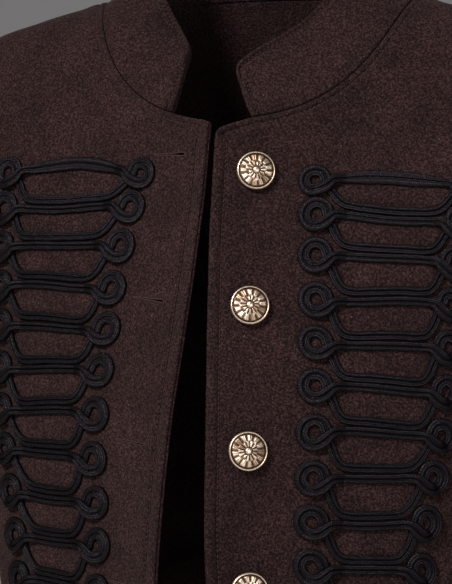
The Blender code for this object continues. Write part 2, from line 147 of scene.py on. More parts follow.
def cubic(part: Array, start: Array, leave: Array, end: Array, arrive: Array) -> Array:
    """Cubic between two points with a slope at each.

    Args:
        part: Share of the way.
        start: First point.
        leave: Slope at the first point.
        end: Last point.
        arrive: Slope at the last point.

    Returns:
        Points.
    """
    rest = 1.0 - part
    begun = (1.0 + 2.0 * part) * rest ** 2 * start + part * rest ** 2 * leave
    return begun + part ** 2 * (3.0 - 2.0 * part) * end - part ** 2 * rest * arrive


def closed_curve(knots: Array, count: int) -> Array:
    """Closed smooth curve through points: cubics whose slopes are the chord-weighted mean of the two
    neighbouring chords, so long bars stay straight beside short loops.

    Args:
        knots: Points in order, the last joined to the first.
        count: Samples round the curve, evenly by chord length.

    Returns:
        Sampled points.
    """
    steps = np.roll(knots, -1, axis=0) - knots
    chord = np.linalg.norm(steps[:, :2], axis=-1)[:, None]
    slope = steps / chord
    back_chord, back_slope = np.roll(chord, 1, axis=0), np.roll(slope, 1, axis=0)
    tangent = (slope * back_chord + back_slope * chord) / (chord + back_chord)
    run = np.concatenate(((0.0,), np.cumsum(chord)))
    place = np.linspace(0.0, run[-1], count, endpoint=False)
    low = np.clip(np.searchsorted(run, place, side="right") - 1, 0, len(knots) - 1)
    high = (low + 1) % len(knots)
    length = chord[low]
    part = (place - run[low])[:, None] / length
    return cubic(part, knots[low], length * tangent[low], knots[high], length * tangent[high])


def normal_of(surface: Surface, u: Array, v: Array) -> Array:
    """Outward directions of a surface: the cross product of its slopes by u and by v.

    Args:
        surface: Point of u and v.
        u: First parameters.
        v: Second parameters.

    Returns:
        Unit directions.
    """
    by_u = surface(u + SLOPE_STEP, v) - surface(u - SLOPE_STEP, v)
    by_v = surface(u, v + SLOPE_STEP) - surface(u, v - SLOPE_STEP)
    return unit(np.cross(by_u, by_v))


def run_along(points: Array, axis: int = 0) -> Array:
    """Distance travelled along a line of points, or the lines of a grid, from nought.

    Args:
        points: Line or grid of points.
        axis: Axis to travel along.

    Returns:
        Running distance at each point.
    """
    steps = np.linalg.norm(np.diff(points, axis=axis), axis=-1)
    pad = [(0, 0)] * steps.ndim
    pad[axis] = (1, 0)
    return np.pad(np.cumsum(steps, axis=axis), pad)


def read_lines(at: Array | float, runs: Array, values: Array) -> Array:
    """Values read along lines in straight steps; a single row serves every line.

    Args:
        at: Places to read, one row per line.
        runs: Rising places of the known values, one row per line.
        values: Known values, one row per line.

    Returns:
        Values read, one row per line.
    """
    rows = [np.atleast_2d(part) for part in (at, runs, values)]
    count = max(len(part) for part in rows)
    lines = zip(*(np.broadcast_to(part, (count, part.shape[1])) for part in rows))
    return np.stack([np.interp(*line) for line in lines])


def circle(count: int) -> Array:
    """Even angles round a full turn."""
    return np.linspace(0.0, FULL_TURN, count, endpoint=False)


def soft_step(value: Array) -> Array:
    """Smooth rise from nought to one over the range nought to one."""
    value = np.clip(value, 0.0, 1.0)
    return value ** 2 * (3.0 - 2.0 * value)


def fade(distance: Array, start: float, span: float) -> Array:
    """Smooth rise from nought to one over a span of distance."""
    return soft_step((distance - start) / span)


def bump_at(distance: Array, middle: float, half: float) -> Array:
    """Bell curve of a distance about a middle."""
    return np.exp(-((distance - middle) / half) ** 2)


def corner_cut(distance: Array, radius: float) -> Array:
    """Height that a round corner takes off an edge at a distance from its end."""
    return radius - np.sqrt(radius ** 2 - np.clip(radius - distance, 0.0, radius) ** 2)


def relief_of(distance: Array, bells: Table) -> Array:
    """Relief by an edge: the sum of bell curves, each of a height, a middle and a half width."""
    return sum(height * bump_at(distance, middle, half) for height, middle, half in bells)


def waves_of(rows: Table, x: Array, y: Array | float = 0.0) -> Array:
    """Sum of sine waves, each of a size, its turns by x and by y, and a start."""
    return sum(size * np.sin(by_x * x + by_y * y + start) for size, by_x, by_y, start in rows)


# Row and column distances that crowd toward a rolled edge, and about a line of stitching
EDGE_ROLL = (0.0, 0.00012, 0.0004, 0.0009, 0.0016, 0.0027)
STITCH_ROWS = (-0.0022, -0.0012, -0.0006, 0.0, 0.0006, 0.0012, 0.0024, 0.0050)
LEAST_ROW = 0.0029


def stitch_crowd(line: float) -> tuple[float, ...]:
    """Distances from an edge that show its roll and the groove of a stitch line."""
    return EDGE_ROLL + tuple(line + step for step in STITCH_ROWS if line + step > LEAST_ROW)


@dataclass(frozen=True)
class Layout:
    """Grid laid on a cloth piece: its two parameters, and its distances from the four edges."""

    u: Array
    v: Array
    left: Array
    right: Array
    low: Array
    high: Array


@dataclass(frozen=True)
class Edges:
    """Finishes of a piece's four edges."""

    left: EdgeKind = EdgeKind.SEAM
    right: EdgeKind = EdgeKind.SEAM
    low: EdgeKind = EdgeKind.SEAM
    high: EdgeKind = EdgeKind.SEAM

    def each(self, layout: Layout) -> list[tuple[Array, EdgeKind]]:
        """Distances from each edge, with its finish."""
        return [(getattr(layout, side), getattr(self, side)) for side in ("left", "right", "low", "high")]


@dataclass(frozen=True)
class Crowding:
    """Edge distances and counts of a piece's rows and columns."""

    low: tuple[float, ...] = EDGE_ROLL
    high: tuple[float, ...] = EDGE_ROLL
    left: tuple[float, ...] = EDGE_ROLL
    right: tuple[float, ...] = EDGE_ROLL
    columns: int = 80
    blend: int = 4


def lay_out(surface: Surface, across: Array, up: Array, keep: Array, crowd: Crowding,
            trim: Array | float = 0.0) -> Layout:
    """Lays rows and columns on a surface at true distances from its edges.

    Rows are set along dense columns by arc length: fixed distances by the low and high edges, kept parameter
    values between. Columns are then set along those rows in the same way.

    Args:
        surface: Point of u and v.
        across: Dense u values, left edge to right edge.
        up: Dense v values, low edge to high edge.
        keep: Values of v for the middle rows.
        crowd: Edge distances and counts.
        trim: Length taken off the high edge at each dense u.

    Returns:
        The layout.
    """
    run = run_along(surface(*np.meshgrid(across, up)))
    top = run[-1] - trim
    kept = read_lines(keep, up, run.T).T
    low = np.array(crowd.low)[:, None] + 0.0 * top
    high = top - np.array(crowd.high)[::-1, None]
    share = np.linspace(0.0, 1.0, crowd.blend + 2)[1:-1, None]
    into, out_of = low[-1] + share * (kept[0] - low[-1]), kept[-1] + share * (high[0] - kept[-1])
    rows = np.concatenate((low, into, kept, out_of, high))
    v_rows = read_lines(rows.T, run.T, up).T
    along = run_along(surface(across + 0.0 * v_rows, v_rows), 1)
    width = along[:, -1:]
    left = np.array(crowd.left) + 0.0 * width
    right = width - np.array(crowd.right)[::-1]
    share = np.linspace(0.0, 1.0, crowd.columns + 2)[1:-1]
    columns = np.concatenate((left, left[:, -1:] + share * (right[:, :1] - left[:, -1:]), right), axis=1)
    u, v, below, above = (read_lines(columns, along, part) for part in (across, v_rows, rows, top - rows))
    return Layout(u, v, columns, width - columns, below, above)


def grid_quads(rows: int, columns: int, start: int = 0, wrap_rows: bool = False,
               wrap_columns: bool = False) -> Array:
    """Quads of a grid of points.

    Args:
        rows: Rows of points.
        columns: Columns of points.
        start: Index of the first point.
        wrap_rows: Whether the last row joins the first.
        wrap_columns: Whether the last column joins the first.

    Returns:
        Point indices, four to a quad.
    """
    index = start + np.arange(rows * columns).reshape(rows, columns)
    if wrap_rows:
        index = np.concatenate((index, index[:1]), axis=0)
    if wrap_columns:
        index = np.concatenate((index, index[:, :1]), axis=1)
    corners = (index[:-1, :-1], index[:-1, 1:], index[1:, 1:], index[1:, :-1])
    return np.stack(corners, axis=-1).reshape(-1, 4)


# Lines round the rim of a wall: share of the thickness from the outer face, and share of the groove's depth
RIM_LINES = ((0.14, 0.05), (0.44, 1.0), (0.76, 0.05))


def wall(points: Array, normals: Array, thickness: Array | float, layout: Layout, relief: Array,
         edges: Edges) -> Pair:
    """Closed cloth wall with rolled edges.

    The outer face is the surface plus relief; the inner face lies one thickness in. Both turn toward each
    other along a quarter circle near an edge. Three lines join them round the rim, the middle one drawn in
    where two layers meet at the edge.

    Args:
        points: Grid of surface points.
        normals: Outward directions at the points.
        thickness: Thickness of the cloth.
        layout: Edge distances of the grid.
        relief: Height of the outer face over the surface.
        edges: Finishes of the edges.

    Returns:
        Vertices and quads.
    """
    near = edges.each(layout)
    drop = np.maximum.reduce([corner_cut(distance, kind.radius) for distance, kind in near])
    groove = sum(kind.groove * (distance < 1e-6) for distance, kind in near)
    outer = points + (relief - drop)[..., None] * normals
    inner = points + (drop - thickness)[..., None] * normals
    rows, columns = points.shape[:2]
    count = rows * columns
    index = np.arange(count).reshape(rows, columns)
    loop = np.concatenate((index[0], index[1:, -1], index[-1, -2::-1], index[-2:0:-1, 0]))
    row, column = np.divmod(loop, columns)
    inward = unit(points[np.clip(row, 1, rows - 2), np.clip(column, 1, columns - 2)] - points[row, column])
    inward = groove[row, column][:, None] * inward
    start, span = outer[row, column], inner[row, column] - outer[row, column]
    rim = [start + share * span + draw * inward for share, draw in RIM_LINES]
    new = [2 * count + step * len(loop) + np.arange(len(loop)) for step in range(len(rim))]
    lines = [loop, *new, loop + count]
    bands = [np.stack((np.roll(a, -1), a, b, np.roll(b, -1)), axis=-1) for a, b in zip(lines, lines[1:])]
    vertices = np.concatenate((outer.reshape(-1, 3), inner.reshape(-1, 3), *rim))
    inside = grid_quads(rows, columns, count)[:, ::-1]
    return vertices, np.concatenate((grid_quads(rows, columns), inside, *bands))


def swept(centre: Array, side: Array, normal: Array, profile: Array) -> Array:
    """Rings of a profile carried along a path: centre plus the profile's width on the side axis and its
    height on the normal."""
    width, height = profile[..., 0], profile[..., 1]
    return centre[:, None] + width[..., None] * side[:, None] + height[..., None] * normal[:, None]


def inside_line(surface: Surface, across: Array, up: Array, distance: float, high: bool) -> Array:
    """Rows at which a line runs at a distance inside a surface's edge.

    Args:
        surface: Point of u and v.
        across: Values of u along the line.
        up: Dense v values, low edge to high edge.
        distance: Distance from the edge along the surface.
        high: Whether the edge is the high one.

    Returns:
        Value of v at each u.
    """
    run = run_along(surface(*np.meshgrid(across, up)))
    at = run[-1] - distance if high else np.full(len(across), distance)
    return read_lines(at[:, None], run.T, up)[:, 0]


def sunk_path(surface: Surface, u: Array, v: Array, depth: float, side: Side = Side.LEFT) -> Pair:
    """Pair on a surface sunk to a depth, with its outward directions."""
    normals = side.value * normal_of(surface, u, v)
    return surface(u, v) - depth * normals, normals


class NodeBoard:
    """Hand for wiring one procedural material."""

    def __init__(self, name: str) -> None:
        """Starts a material with its shader.

        Args:
            name: Material name.
        """
        self.material = bpy.data.materials.new(name)
        self.material.use_nodes = True
        self.tree = self.material.node_tree
        self.shader = self.tree.nodes["Principled BSDF"]

    def fill(self, node: bpy.types.Node, inputs: dict[str | int, object]) -> None:
        """Fills a node's inputs: a socket is linked, and any other value is set.

        Args:
            node: Node to fill.
            inputs: Values or sockets by input name or index.
        """
        for key, value in inputs.items():
            if isinstance(value, Socket):
                self.tree.links.new(value, node.inputs[key])
            else:
                node.inputs[key].default_value = value

    def put(self, kind: str, inputs: dict[str | int, object], output: str | int = 0,
            **settings: object) -> Socket:
        """Adds a shader node.

        Args:
            kind: Node type.
            inputs: Values or sockets by input name or index.
            output: Output to hand back.
            settings: Node properties.

        Returns:
            The output socket.
        """
        node = self.tree.nodes.new("ShaderNode" + kind)
        for key, value in settings.items():
            setattr(node, key, value)
        self.fill(node, inputs)
        return node.outputs[output]

    def coords(self, kind: str = "Object") -> Socket:
        """Coordinates of one kind."""
        return self.put("TexCoord", {}, kind)

    def math(self, operation: str, first: object, second: object = 0.0, third: object = 0.0) -> Socket:
        """Result of one sum."""
        return self.put("Math", {0: first, 1: second, 2: third}, operation=operation)

    def noise(self, vector: Socket, scale: float, detail: float = 2.0, output: str = "Fac") -> Socket:
        """Soft noise at a scale per metre."""
        inputs = {"Vector": vector, "Scale": scale, "Detail": detail, "Roughness": 0.55}
        return self.put("TexNoise", inputs, output)

    def warped(self, vector: Socket, scale: float, amount: float) -> Socket:
        """Coordinates pushed about by noise.

        Args:
            vector: Coordinates.
            scale: Noise scale per metre.
            amount: Reach of the push in metres.

        Returns:
            The pushed coordinates.
        """
        noise = self.noise(vector, scale, 1.0, "Color")
        push = self.put("VectorMath", {0: noise, 1: (0.5, 0.5, 0.5)}, operation="SUBTRACT")
        return self.put("VectorMath", {0: push, 1: (amount,) * 3, 2: vector}, operation="MULTIPLY_ADD")

    def curls(self, vector: Socket, scale: float, sharpness: float) -> Socket:
        """Thin curling lines: one less the sharpened distance of noise from its middle."""
        gap = self.math("ABSOLUTE", self.math("SUBTRACT", self.noise(vector, scale, 1.0), 0.5))
        return self.put("Math", {0: gap, 1: -sharpness, 2: 1.0}, operation="MULTIPLY_ADD", use_clamp=True)

    def ramp(self, value: Socket, stops: Sequence[tuple[float, Triple]]) -> Socket:
        """Colour ramp.

        Args:
            value: Socket that drives the ramp.
            stops: Rising places with their colours.

        Returns:
            The colour socket.
        """
        socket = self.put("ValToRGB", {"Fac": value}, "Color")
        steps = socket.node.color_ramp.elements
        for place, _ in stops[1:-1]:
            steps.new(place)
        for step, (place, colour) in zip(steps, stops):
            step.position = place
            step.color = (*colour, 1.0)
        return socket

    def bump(self, height: Socket, distance: float, strength: float) -> Socket:
        """Bumped normal of a height."""
        return self.put("Bump", {"Height": height, "Distance": distance, "Strength": strength}, "Normal")

    def close(self, inputs: dict[str, object]) -> Material:
        """Fills the shader's inputs and hands over the material."""
        self.fill(self.shader, inputs)
        return self.material


@dataclass(frozen=True)
class WoolFinish:
    """Felted wool: small tufts and thin curled fibres on a dark ground, sparse pale flecks, soft mottling."""

    name: str = "felted_wool"
    ground: Triple = (0.0068, 0.0031, 0.0030)
    middle: Triple = (0.0152, 0.0073, 0.0073)
    light: Triple = (0.0350, 0.0184, 0.0182)
    stops: Triple = (0.40, 0.585, 0.78)
    fleck: Triple = (0.0800, 0.0540, 0.0480)
    sheen: Triple = (0.80, 0.60, 0.56)
    bend_scale: float = 480.0
    bend_reach: float = 0.0012
    tuft_scale: float = 850.0
    tuft_detail: float = 0.6
    curl_scale: float = 1000.0
    curl_sharpness: float = 9.0
    curl_weight: float = 0.22
    fleck_scale: float = 330.0
    fleck_size: float = 0.15
    fleck_choice: float = 0.68
    choice_scale: float = 240.0
    mottle_scale: float = 34.0
    mottle: Size = (1.20, 0.40)

    def material(self) -> Material:
        """Tufts of warped noise and thin curls drive the colour and the bump; flecks lie in a few cells;
        mottling scales the colour.

        Returns:
            The material.
        """
        board = NodeBoard(self.name)
        place = board.coords()
        bent = board.warped(place, self.bend_scale, self.bend_reach)
        tuft = board.noise(bent, self.tuft_scale, self.tuft_detail)
        curl = board.curls(bent, self.curl_scale, self.curl_sharpness)
        nap = board.math("MULTIPLY_ADD", curl, self.curl_weight, tuft)
        shade = board.ramp(nap, tuple(zip(self.stops, (self.ground, self.middle, self.light))))
        cells = board.put("TexVoronoi", {"Vector": place, "Scale": self.fleck_scale}, "Distance")
        chosen = board.math("GREATER_THAN", board.noise(place, self.choice_scale, 1.0), self.fleck_choice)
        spot = board.math("MULTIPLY", board.math("LESS_THAN", cells, self.fleck_size), chosen)
        shade = board.put("Mix", {"Factor": spot, 6: shade, 7: (*self.fleck, 1.0)}, 2, data_type="RGBA")
        patch = board.math("MULTIPLY_ADD", board.noise(place, self.mottle_scale, 3.0), *self.mottle)
        tinted = board.put("VectorMath", {0: shade, "Scale": patch}, "Vector", operation="SCALE")
        return board.close({
            "Base Color": tinted, "Normal": board.bump(nap, 0.0012, 0.8),
            "Roughness": 0.95, "Specular IOR Level": 0.06,
            "Sheen Weight": 0.035, "Sheen Roughness": 0.5, "Sheen Tint": (*self.sheen, 1.0),
        })


@dataclass(frozen=True)
class BraidFinish:
    """Ribbed plaited braid, near black with a faint cool sheen; the plait runs on the braid's own map."""

    name: str = "plaited_braid"
    dark: Triple = (0.0005, 0.0003, 0.0005)
    light: Triple = (0.0040, 0.0030, 0.0042)
    gleam: Triple = (0.98, 0.88, 1.0)
    sheen: Triple = (0.90, 0.80, 1.0)
    pitch: float = 0.0012
    slant: float = 0.0022
    cords: float = 9.0
    fuzz_scale: float = 700.0
    strand_weight: float = 0.12
    cord_weight: float = 0.10

    def material(self) -> Material:
        """Slanting strands, a sine of the run plus a slant by the distance from the middle, crossed with
        fine long cords, a sine of the place across, and a fuzz noise.

        Returns:
            The material.
        """
        board = NodeBoard(self.name)
        parts = board.put("SeparateXYZ", {0: board.coords("UV")}, "X").node.outputs
        slant = board.math("ABSOLUTE", board.math("SUBTRACT", board.math("ABSOLUTE", parts["Y"]), 0.5))
        slant = board.math("MULTIPLY_ADD", slant, self.slant, parts["X"])
        strand = board.math("SINE", board.math("MULTIPLY", slant, FULL_TURN / self.pitch))
        cord = board.math("SINE", board.math("MULTIPLY", parts["Y"], np.pi * self.cords))
        fuzz = board.noise(board.coords(), self.fuzz_scale, 3.0)
        body = board.math("MULTIPLY_ADD", cord, self.cord_weight, fuzz)
        body = board.math("MULTIPLY_ADD", strand, self.strand_weight, body)
        return board.close({
            "Base Color": board.ramp(body, ((0.28, self.dark), (0.78, self.light))),
            "Normal": board.bump(body, 0.0006, 0.8), "Roughness": 0.38,
            "Specular IOR Level": 0.13, "Specular Tint": (*self.gleam, 1.0),
            "Sheen Weight": 0.002, "Sheen Roughness": 0.4, "Sheen Tint": (*self.sheen, 1.0),
        })


@dataclass(frozen=True)
class BrassFinish:
    """Antiqued pale brass: bright where worn, brown in the recesses, by the piece's relief."""

    name: str = "antiqued_brass"
    recess: Triple = (0.030, 0.016, 0.009)
    worn: Triple = (0.310, 0.205, 0.135)
    bright: Triple = (0.860, 0.720, 0.590)
    stops: Triple = (0.10, 0.50, 0.88)
    grime_scale: float = 1100.0

    def material(self) -> Material:
        """Relief with a little grime noise drives colour and roughness.

        Returns:
            The material.
        """
        board = NodeBoard(self.name)
        relief = board.put("Attribute", {}, "Fac", attribute_name="relief")
        grime = board.noise(board.coords(), self.grime_scale, 3.0)
        wear = board.math("ADD", relief, board.math("MULTIPLY_ADD", grime, 0.5, -0.25))
        return board.close({
            "Base Color": board.ramp(wear, tuple(zip(self.stops, (self.recess, self.worn, self.bright)))),
            "Roughness": board.math("MULTIPLY_ADD", wear, -0.26, 0.56),
            "Normal": board.bump(grime, 0.0002, 0.35), "Metallic": 1.0,
        })


@dataclass(frozen=True)
class ThreadFinish:
    """Sewing thread, or the painted shade in the slit that it edges: one colour with a fine twist."""

    name: str
    shade: Triple
    gloss: float
    twist_scale: float = 2200.0
    spread: Size = (0.5, 1.5)

    def material(self) -> Material:
        """Fine noise runs from half to one and a half times the shade and bumps the thread.

        Returns:
            The material.
        """
        board = NodeBoard(self.name)
        twist = board.noise(board.coords(), self.twist_scale)
        dark, light = (tuple(share * part for part in self.shade) for share in self.spread)
        return board.close({
            "Base Color": board.ramp(twist, ((0.3, dark), (0.7, light))),
            "Normal": board.bump(twist, 0.0003, 0.5), "Roughness": 0.9, "Specular IOR Level": self.gloss,
        })


@dataclass(frozen=True)
class FloorFinish:
    """Pale studio floor with a faint unevenness."""

    name: str = "pale_floor"
    dark: Triple = (0.70, 0.69, 0.67)
    light: Triple = (0.76, 0.75, 0.73)

    def material(self) -> Material:
        """Broad noise between two pale greys.

        Returns:
            The material.
        """
        board = NodeBoard(self.name)
        cloud = board.noise(board.coords(), 3.0, 3.0)
        return board.close({"Base Color": board.ramp(cloud, ((0.3, self.dark), (0.7, self.light))),
                            "Roughness": 0.9})


THREAD = ThreadFinish("brown_thread", (0.034, 0.0195, 0.0175), 0.1)
# Near-black painted shade: stands in for the shadow inside the buttonhole slit and its eyelet
SLIT_SHADE = ThreadFinish("painted_shade_slit", (0.0012, 0.0008, 0.0007), 0.0)


@dataclass
class Wardrobe:
    """Finishes made once and shared by the pieces."""

    wool: Material = field(default_factory=WoolFinish().material)
    braid: Material = field(default_factory=BraidFinish().material)
    brass: Material = field(default_factory=BrassFinish().material)
    thread: Material = field(default_factory=THREAD.material)
    # painted shade for the buttonhole slits
    slit: Material = field(default_factory=SLIT_SHADE.material)


def add_piece(name: str, vertices: Array, faces: Sequence[Sequence[int]] | Array, finish: Material,
              nodes: Sequence[str] = ()) -> Piece:
    """Puts arrays into a mesh, shades it smooth, and rides it on the jacket.

    Args:
        name: Piece name.
        vertices: Points in metres, in the frame of the model.
        faces: Vertex indices of the faces.
        finish: Material.
        nodes: Nodes that the piece replaces.

    Returns:
        The object.
    """
    mesh = bpy.data.meshes.new(name)
    mesh.from_pydata(np.asarray(vertices).reshape(-1, 3), [], faces)
    mesh.materials.append(finish)
    mesh.polygons.foreach_set("use_smooth", np.ones(len(mesh.polygons), dtype=bool))
    mesh.update()
    piece = bpy.data.objects.new(name, mesh)
    bpy.context.scene.collection.objects.link(piece)
    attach(piece, ROOT)
    if nodes:
        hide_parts(*nodes)
    LOG.info("%s: %d faces", name, len(mesh.polygons))
    return piece


def add_cloth(node: str, surface: Surface, grid: Layout, relief: Array, edges: Edges, finish: Material,
              thickness: Array | float = WALL, side: Side = Side.LEFT,
              reach: Size = (-np.inf, np.inf)) -> Piece:
    """Builds a cloth piece as a wall on its surface.

    Args:
        node: Node that the piece replaces.
        surface: Point of u and v.
        grid: Layout of the piece.
        relief: Height of the outer face over the surface.
        edges: Finishes of the edges.
        finish: Material.
        thickness: Thickness of the cloth.
        side: Side of the wearer; a right piece is a mirrored one.
        reach: Least and greatest v at which a direction is taken.

    Returns:
        The piece.
    """
    normals = side.value * normal_of(surface, grid.u, np.clip(grid.v, *reach))
    vertices, quads = wall(surface(grid.u, grid.v), normals, thickness, grid, relief, edges)
    quads = quads if side is Side.LEFT else quads[:, ::-1]
    return add_piece("wool_" + node, vertices, quads, finish, [node])


@dataclass(frozen=True)
class TorsoForm:
    """Worn form of the body of the jacket: rings from hem to neck, with folds laid on."""

    # z at side, front and back; half width; front and back depth; half the front gap; forward stand of edges
    sections: Table = (
        (-0.600, -0.600, -0.600, 0.196, 0.116, 0.125, 0.0300, 0.034),
        (-0.520, -0.520, -0.520, 0.188, 0.110, 0.120, 0.0255, 0.042),
        (-0.405, -0.405, -0.405, 0.160, 0.096, 0.098, 0.0190, 0.052),
        (-0.330, -0.330, -0.330, 0.165, 0.096, 0.104, 0.0146, 0.054),
        (-0.262, -0.262, -0.262, 0.176, 0.095, 0.112, 0.0112, 0.042),
        (-0.205, -0.218, -0.205, 0.182, 0.088, 0.116, 0.0080, 0.037),
        (-0.120, -0.178, -0.145, 0.187, 0.081, 0.116, 0.0052, 0.033),
        (-0.062, -0.146, -0.098, 0.192, 0.072, 0.108, 0.0034, 0.034),
        (-0.027, -0.122, -0.062, 0.183, 0.064, 0.098, 0.0024, 0.034),
        (-0.011, -0.100, -0.025, 0.143, 0.061, 0.083, 0.0018, 0.031),
        (0.000, -0.0785, 0.008, 0.100, 0.059, 0.066, 0.0016, 0.0275),
    )
    underarm: float = 5.0
    shoulder_tip: float = 8.0
    neck: float = 10.0
    squareness: float = 0.045
    prow_fade: float = 0.042
    tilt_power: float = 2.2
    armhole_reach: float = radians(34.0)
    fold_radius: float = 0.150
    # angle round from centre front, height, half width, half length, lean, depth, bend
    folds: Table = (
        (46.0, -0.062, 0.016, 0.040, 62.0, -0.0030, 0.0),
        (62.0, -0.395, 0.018, 0.070, 18.0, -0.0060, 0.0),
        (-66.0, -0.385, 0.017, 0.080, -12.0, -0.0070, 0.0),
        (-48.0, -0.560, 0.026, 0.090, 4.0, 0.0070, 0.0),
        (70.0, -0.570, 0.028, 0.080, -3.0, 0.0060, 0.0),
        (112.0, -0.410, 0.018, 0.065, -20.0, -0.0060, 0.0),
        (-118.0, -0.400, 0.019, 0.075, 16.0, -0.0070, 0.0),
        (158.0, -0.380, 0.022, 0.110, -6.0, 0.0060, 0.0),
        (-160.0, -0.395, 0.020, 0.100, 8.0, 0.0050, 0.0),
        (150.0, -0.575, 0.030, 0.090, 0.0, 0.0080, 0.0),
        (-142.0, -0.570, 0.030, 0.085, 3.0, 0.0070, 0.0),
    )
    # the same columns: finer creases with raised shoulders
    creases: Table = (
        (58.0, -0.300, 0.011, 0.055, 38.0, -0.0018, 5.0),
        (-60.0, -0.310, 0.012, 0.060, -34.0, -0.0020, -4.0),
        (74.0, -0.345, 0.010, 0.050, 52.0, -0.0026, 6.0),
        (-76.0, -0.350, 0.010, 0.055, -48.0, -0.0028, -6.0),
        (40.0, -0.455, 0.012, 0.060, 12.0, -0.0020, 3.0),
        (-38.0, -0.460, 0.013, 0.065, -8.0, -0.0022, -3.0),
        (98.0, -0.330, 0.012, 0.060, -30.0, -0.0030, -5.0),
        (-100.0, -0.340, 0.012, 0.058, 34.0, -0.0030, 5.0),
        (128.0, -0.250, 0.014, 0.070, -52.0, -0.0034, -4.0),
        (-126.0, -0.240, 0.014, 0.075, 50.0, -0.0034, 4.0),
        (136.0, -0.440, 0.013, 0.070, 24.0, -0.0030, 4.0),
        (-134.0, -0.435, 0.013, 0.065, -28.0, -0.0032, -4.0),
        (172.0, -0.300, 0.016, 0.080, 70.0, -0.0026, 2.0),
        (-170.0, -0.345, 0.014, 0.075, -66.0, -0.0028, -2.0),
        (178.0, -0.480, 0.016, 0.090, 6.0, -0.0030, 2.0),
        (112.0, -0.520, 0.014, 0.080, -5.0, 0.0030, 2.0),
        (-108.0, -0.525, 0.015, 0.075, 6.0, 0.0030, -2.0),
    )
    crease_shoulder: float = 0.9
    bend_unit: float = 0.1
    rows_below: int = 112
    rows_beside: int = 41
    rows_above: int = 16
    first_row: float = 0.35
    last_row: float = 9.2
    dense_rows: int = 421

    @property
    def hole_middle(self) -> float:
        """Level of the armhole's middle."""
        return 0.5 * (self.underarm + self.shoulder_tip)

    @property
    def hole_half(self) -> float:
        """Half the armhole's height in levels."""
        return 0.5 * (self.shoulder_tip - self.underarm)

    @property
    def levels(self) -> Array:
        """Dense levels from hem to neck."""
        return np.linspace(0.0, self.neck, self.dense_rows)

    def ring(self, level: Array) -> Array:
        """Ring sizes at a level, with the table's columns first."""
        return np.moveaxis(spline(np.array(self.sections), level), -1, 0)

    def plain(self, around: Array, level: Array) -> Array:
        """Plain form: a squared oval ring, drawn forward toward the front edges and tilted front and back.

        Args:
            around: Angle from centre front.
            level: Ring level from the hem.

        Returns:
            Points.
        """
        z_side, z_front, z_back, half_width, front_depth, back_depth, _, prow = self.ring(level)
        square = self.squareness
        across = (np.sin(around) + square * np.sin(3.0 * around)) / (1.0 - square)
        along = (np.cos(around) - square * np.cos(3.0 * around)) / (1.0 - square)
        fore, aft = np.maximum(along, 0.0), np.maximum(-along, 0.0)
        x = half_width * across
        y = back_depth * aft - front_depth * fore - prow * np.exp(-np.abs(x) / self.prow_fade) * fore ** 2
        z = z_side + (z_front - z_side) * fore ** self.tilt_power + (z_back - z_side) * aft ** self.tilt_power
        return np.stack(np.broadcast_arrays(x, y, z), axis=-1)

    def raised(self, point: Array, around: Array, level: Array, rows: Table, shoulder: float) -> Array:
        """Points moved along the plain form's normal by folds: leaning, bent bells, with raised shoulders.

        Args:
            point: Points of the form.
            around: Angle from centre front.
            level: Ring level from the hem.
            rows: Table of the folds.
            shoulder: Rise of the shoulders, nought for none.

        Returns:
            Points.
        """
        depth = np.zeros(point.shape[:-1])
        for angle, height, half_width, half_length, lean, deep, bend in rows:
            turn = (np.degrees(around) - angle + 180.0) % 360.0 - 180.0
            side, rise = np.radians(turn) * self.fold_radius, point[..., 2] - height
            cosine, sine = np.cos(radians(lean)), np.sin(radians(lean))
            length = (side * sine + rise * cosine) / half_length
            across = (side * cosine - rise * sine) / half_width - self.bend_unit * bend * length ** 2
            depth = depth + deep * (1.0 - shoulder * across ** 2) * np.exp(-across ** 2 - length ** 2)
        return point + depth[..., None] * normal_of(self.plain, around, level)

    def body(self, around: Array, level: Array) -> Array:
        """Form with its large folds."""
        return self.raised(self.plain(around, level), around, level, self.folds, 0.0)

    def cloth(self, around: Array, level: Array) -> Array:
        """Body with its finer creases."""
        return self.raised(self.body(around, level), around, level, self.creases, self.crease_shoulder)

    def armhole_share(self, level: Array) -> Array:
        """Share of the armhole's reach at a level: a half ellipse between underarm and shoulder tip."""
        place = np.clip((level - self.hole_middle) / self.hole_half, -1.0, 1.0)
        return np.sqrt(np.maximum(1.0 - place ** 2, 0.0))

    def seam_angle(self, level: Array) -> Array:
        """Angle of half the seam gap at the side and shoulder seams."""
        run = self.plain(SIDE_ANGLE + SLOPE_STEP, level) - self.plain(SIDE_ANGLE - SLOPE_STEP, level)
        return SEAM_GAP * SLOPE_STEP / np.linalg.norm(run, axis=-1)

    def seam_reach(self, level: Array) -> Array:
        """Angle from the side that the seam gap and the armhole take up."""
        return self.seam_angle(level) + self.armhole_reach * self.armhole_share(level)

    def edge_angle(self, level: Array, trim: Array | float) -> Array:
        """Angle of a front edge from centre front, the edge trimmed back."""
        ring = self.ring(level)
        return (ring[6] + trim) * (1.0 - self.squareness) / (ring[3] * (1.0 + 3.0 * self.squareness))

    def front_angle(self, share: Array, level: Array, trim: Array | float = 0.0) -> Array:
        """Angle at a share of the way from the front edge to the armhole or side seam."""
        start = self.edge_angle(level, trim)
        return start + share * (SIDE_ANGLE - self.seam_reach(level) - start)

    def back_angle(self, share: Array, level: Array) -> Array:
        """Angle at a share of the way from the left seam round the back to the right seam."""
        start = SIDE_ANGLE + self.seam_reach(level)
        return start + share * 2.0 * (np.pi - start)

    def armhole(self, turn: Array) -> Pair:
        """Edge of the left armhole: level by the cosine of an angle, and angle round the body by its sine.

        Args:
            turn: Angle from the shoulder.

        Returns:
            Points and normals.
        """
        level = self.hole_middle + self.hole_half * np.cos(turn)
        around = SIDE_ANGLE - self.armhole_reach * np.sin(turn)
        return self.cloth(around, level), normal_of(self.body, around, level)

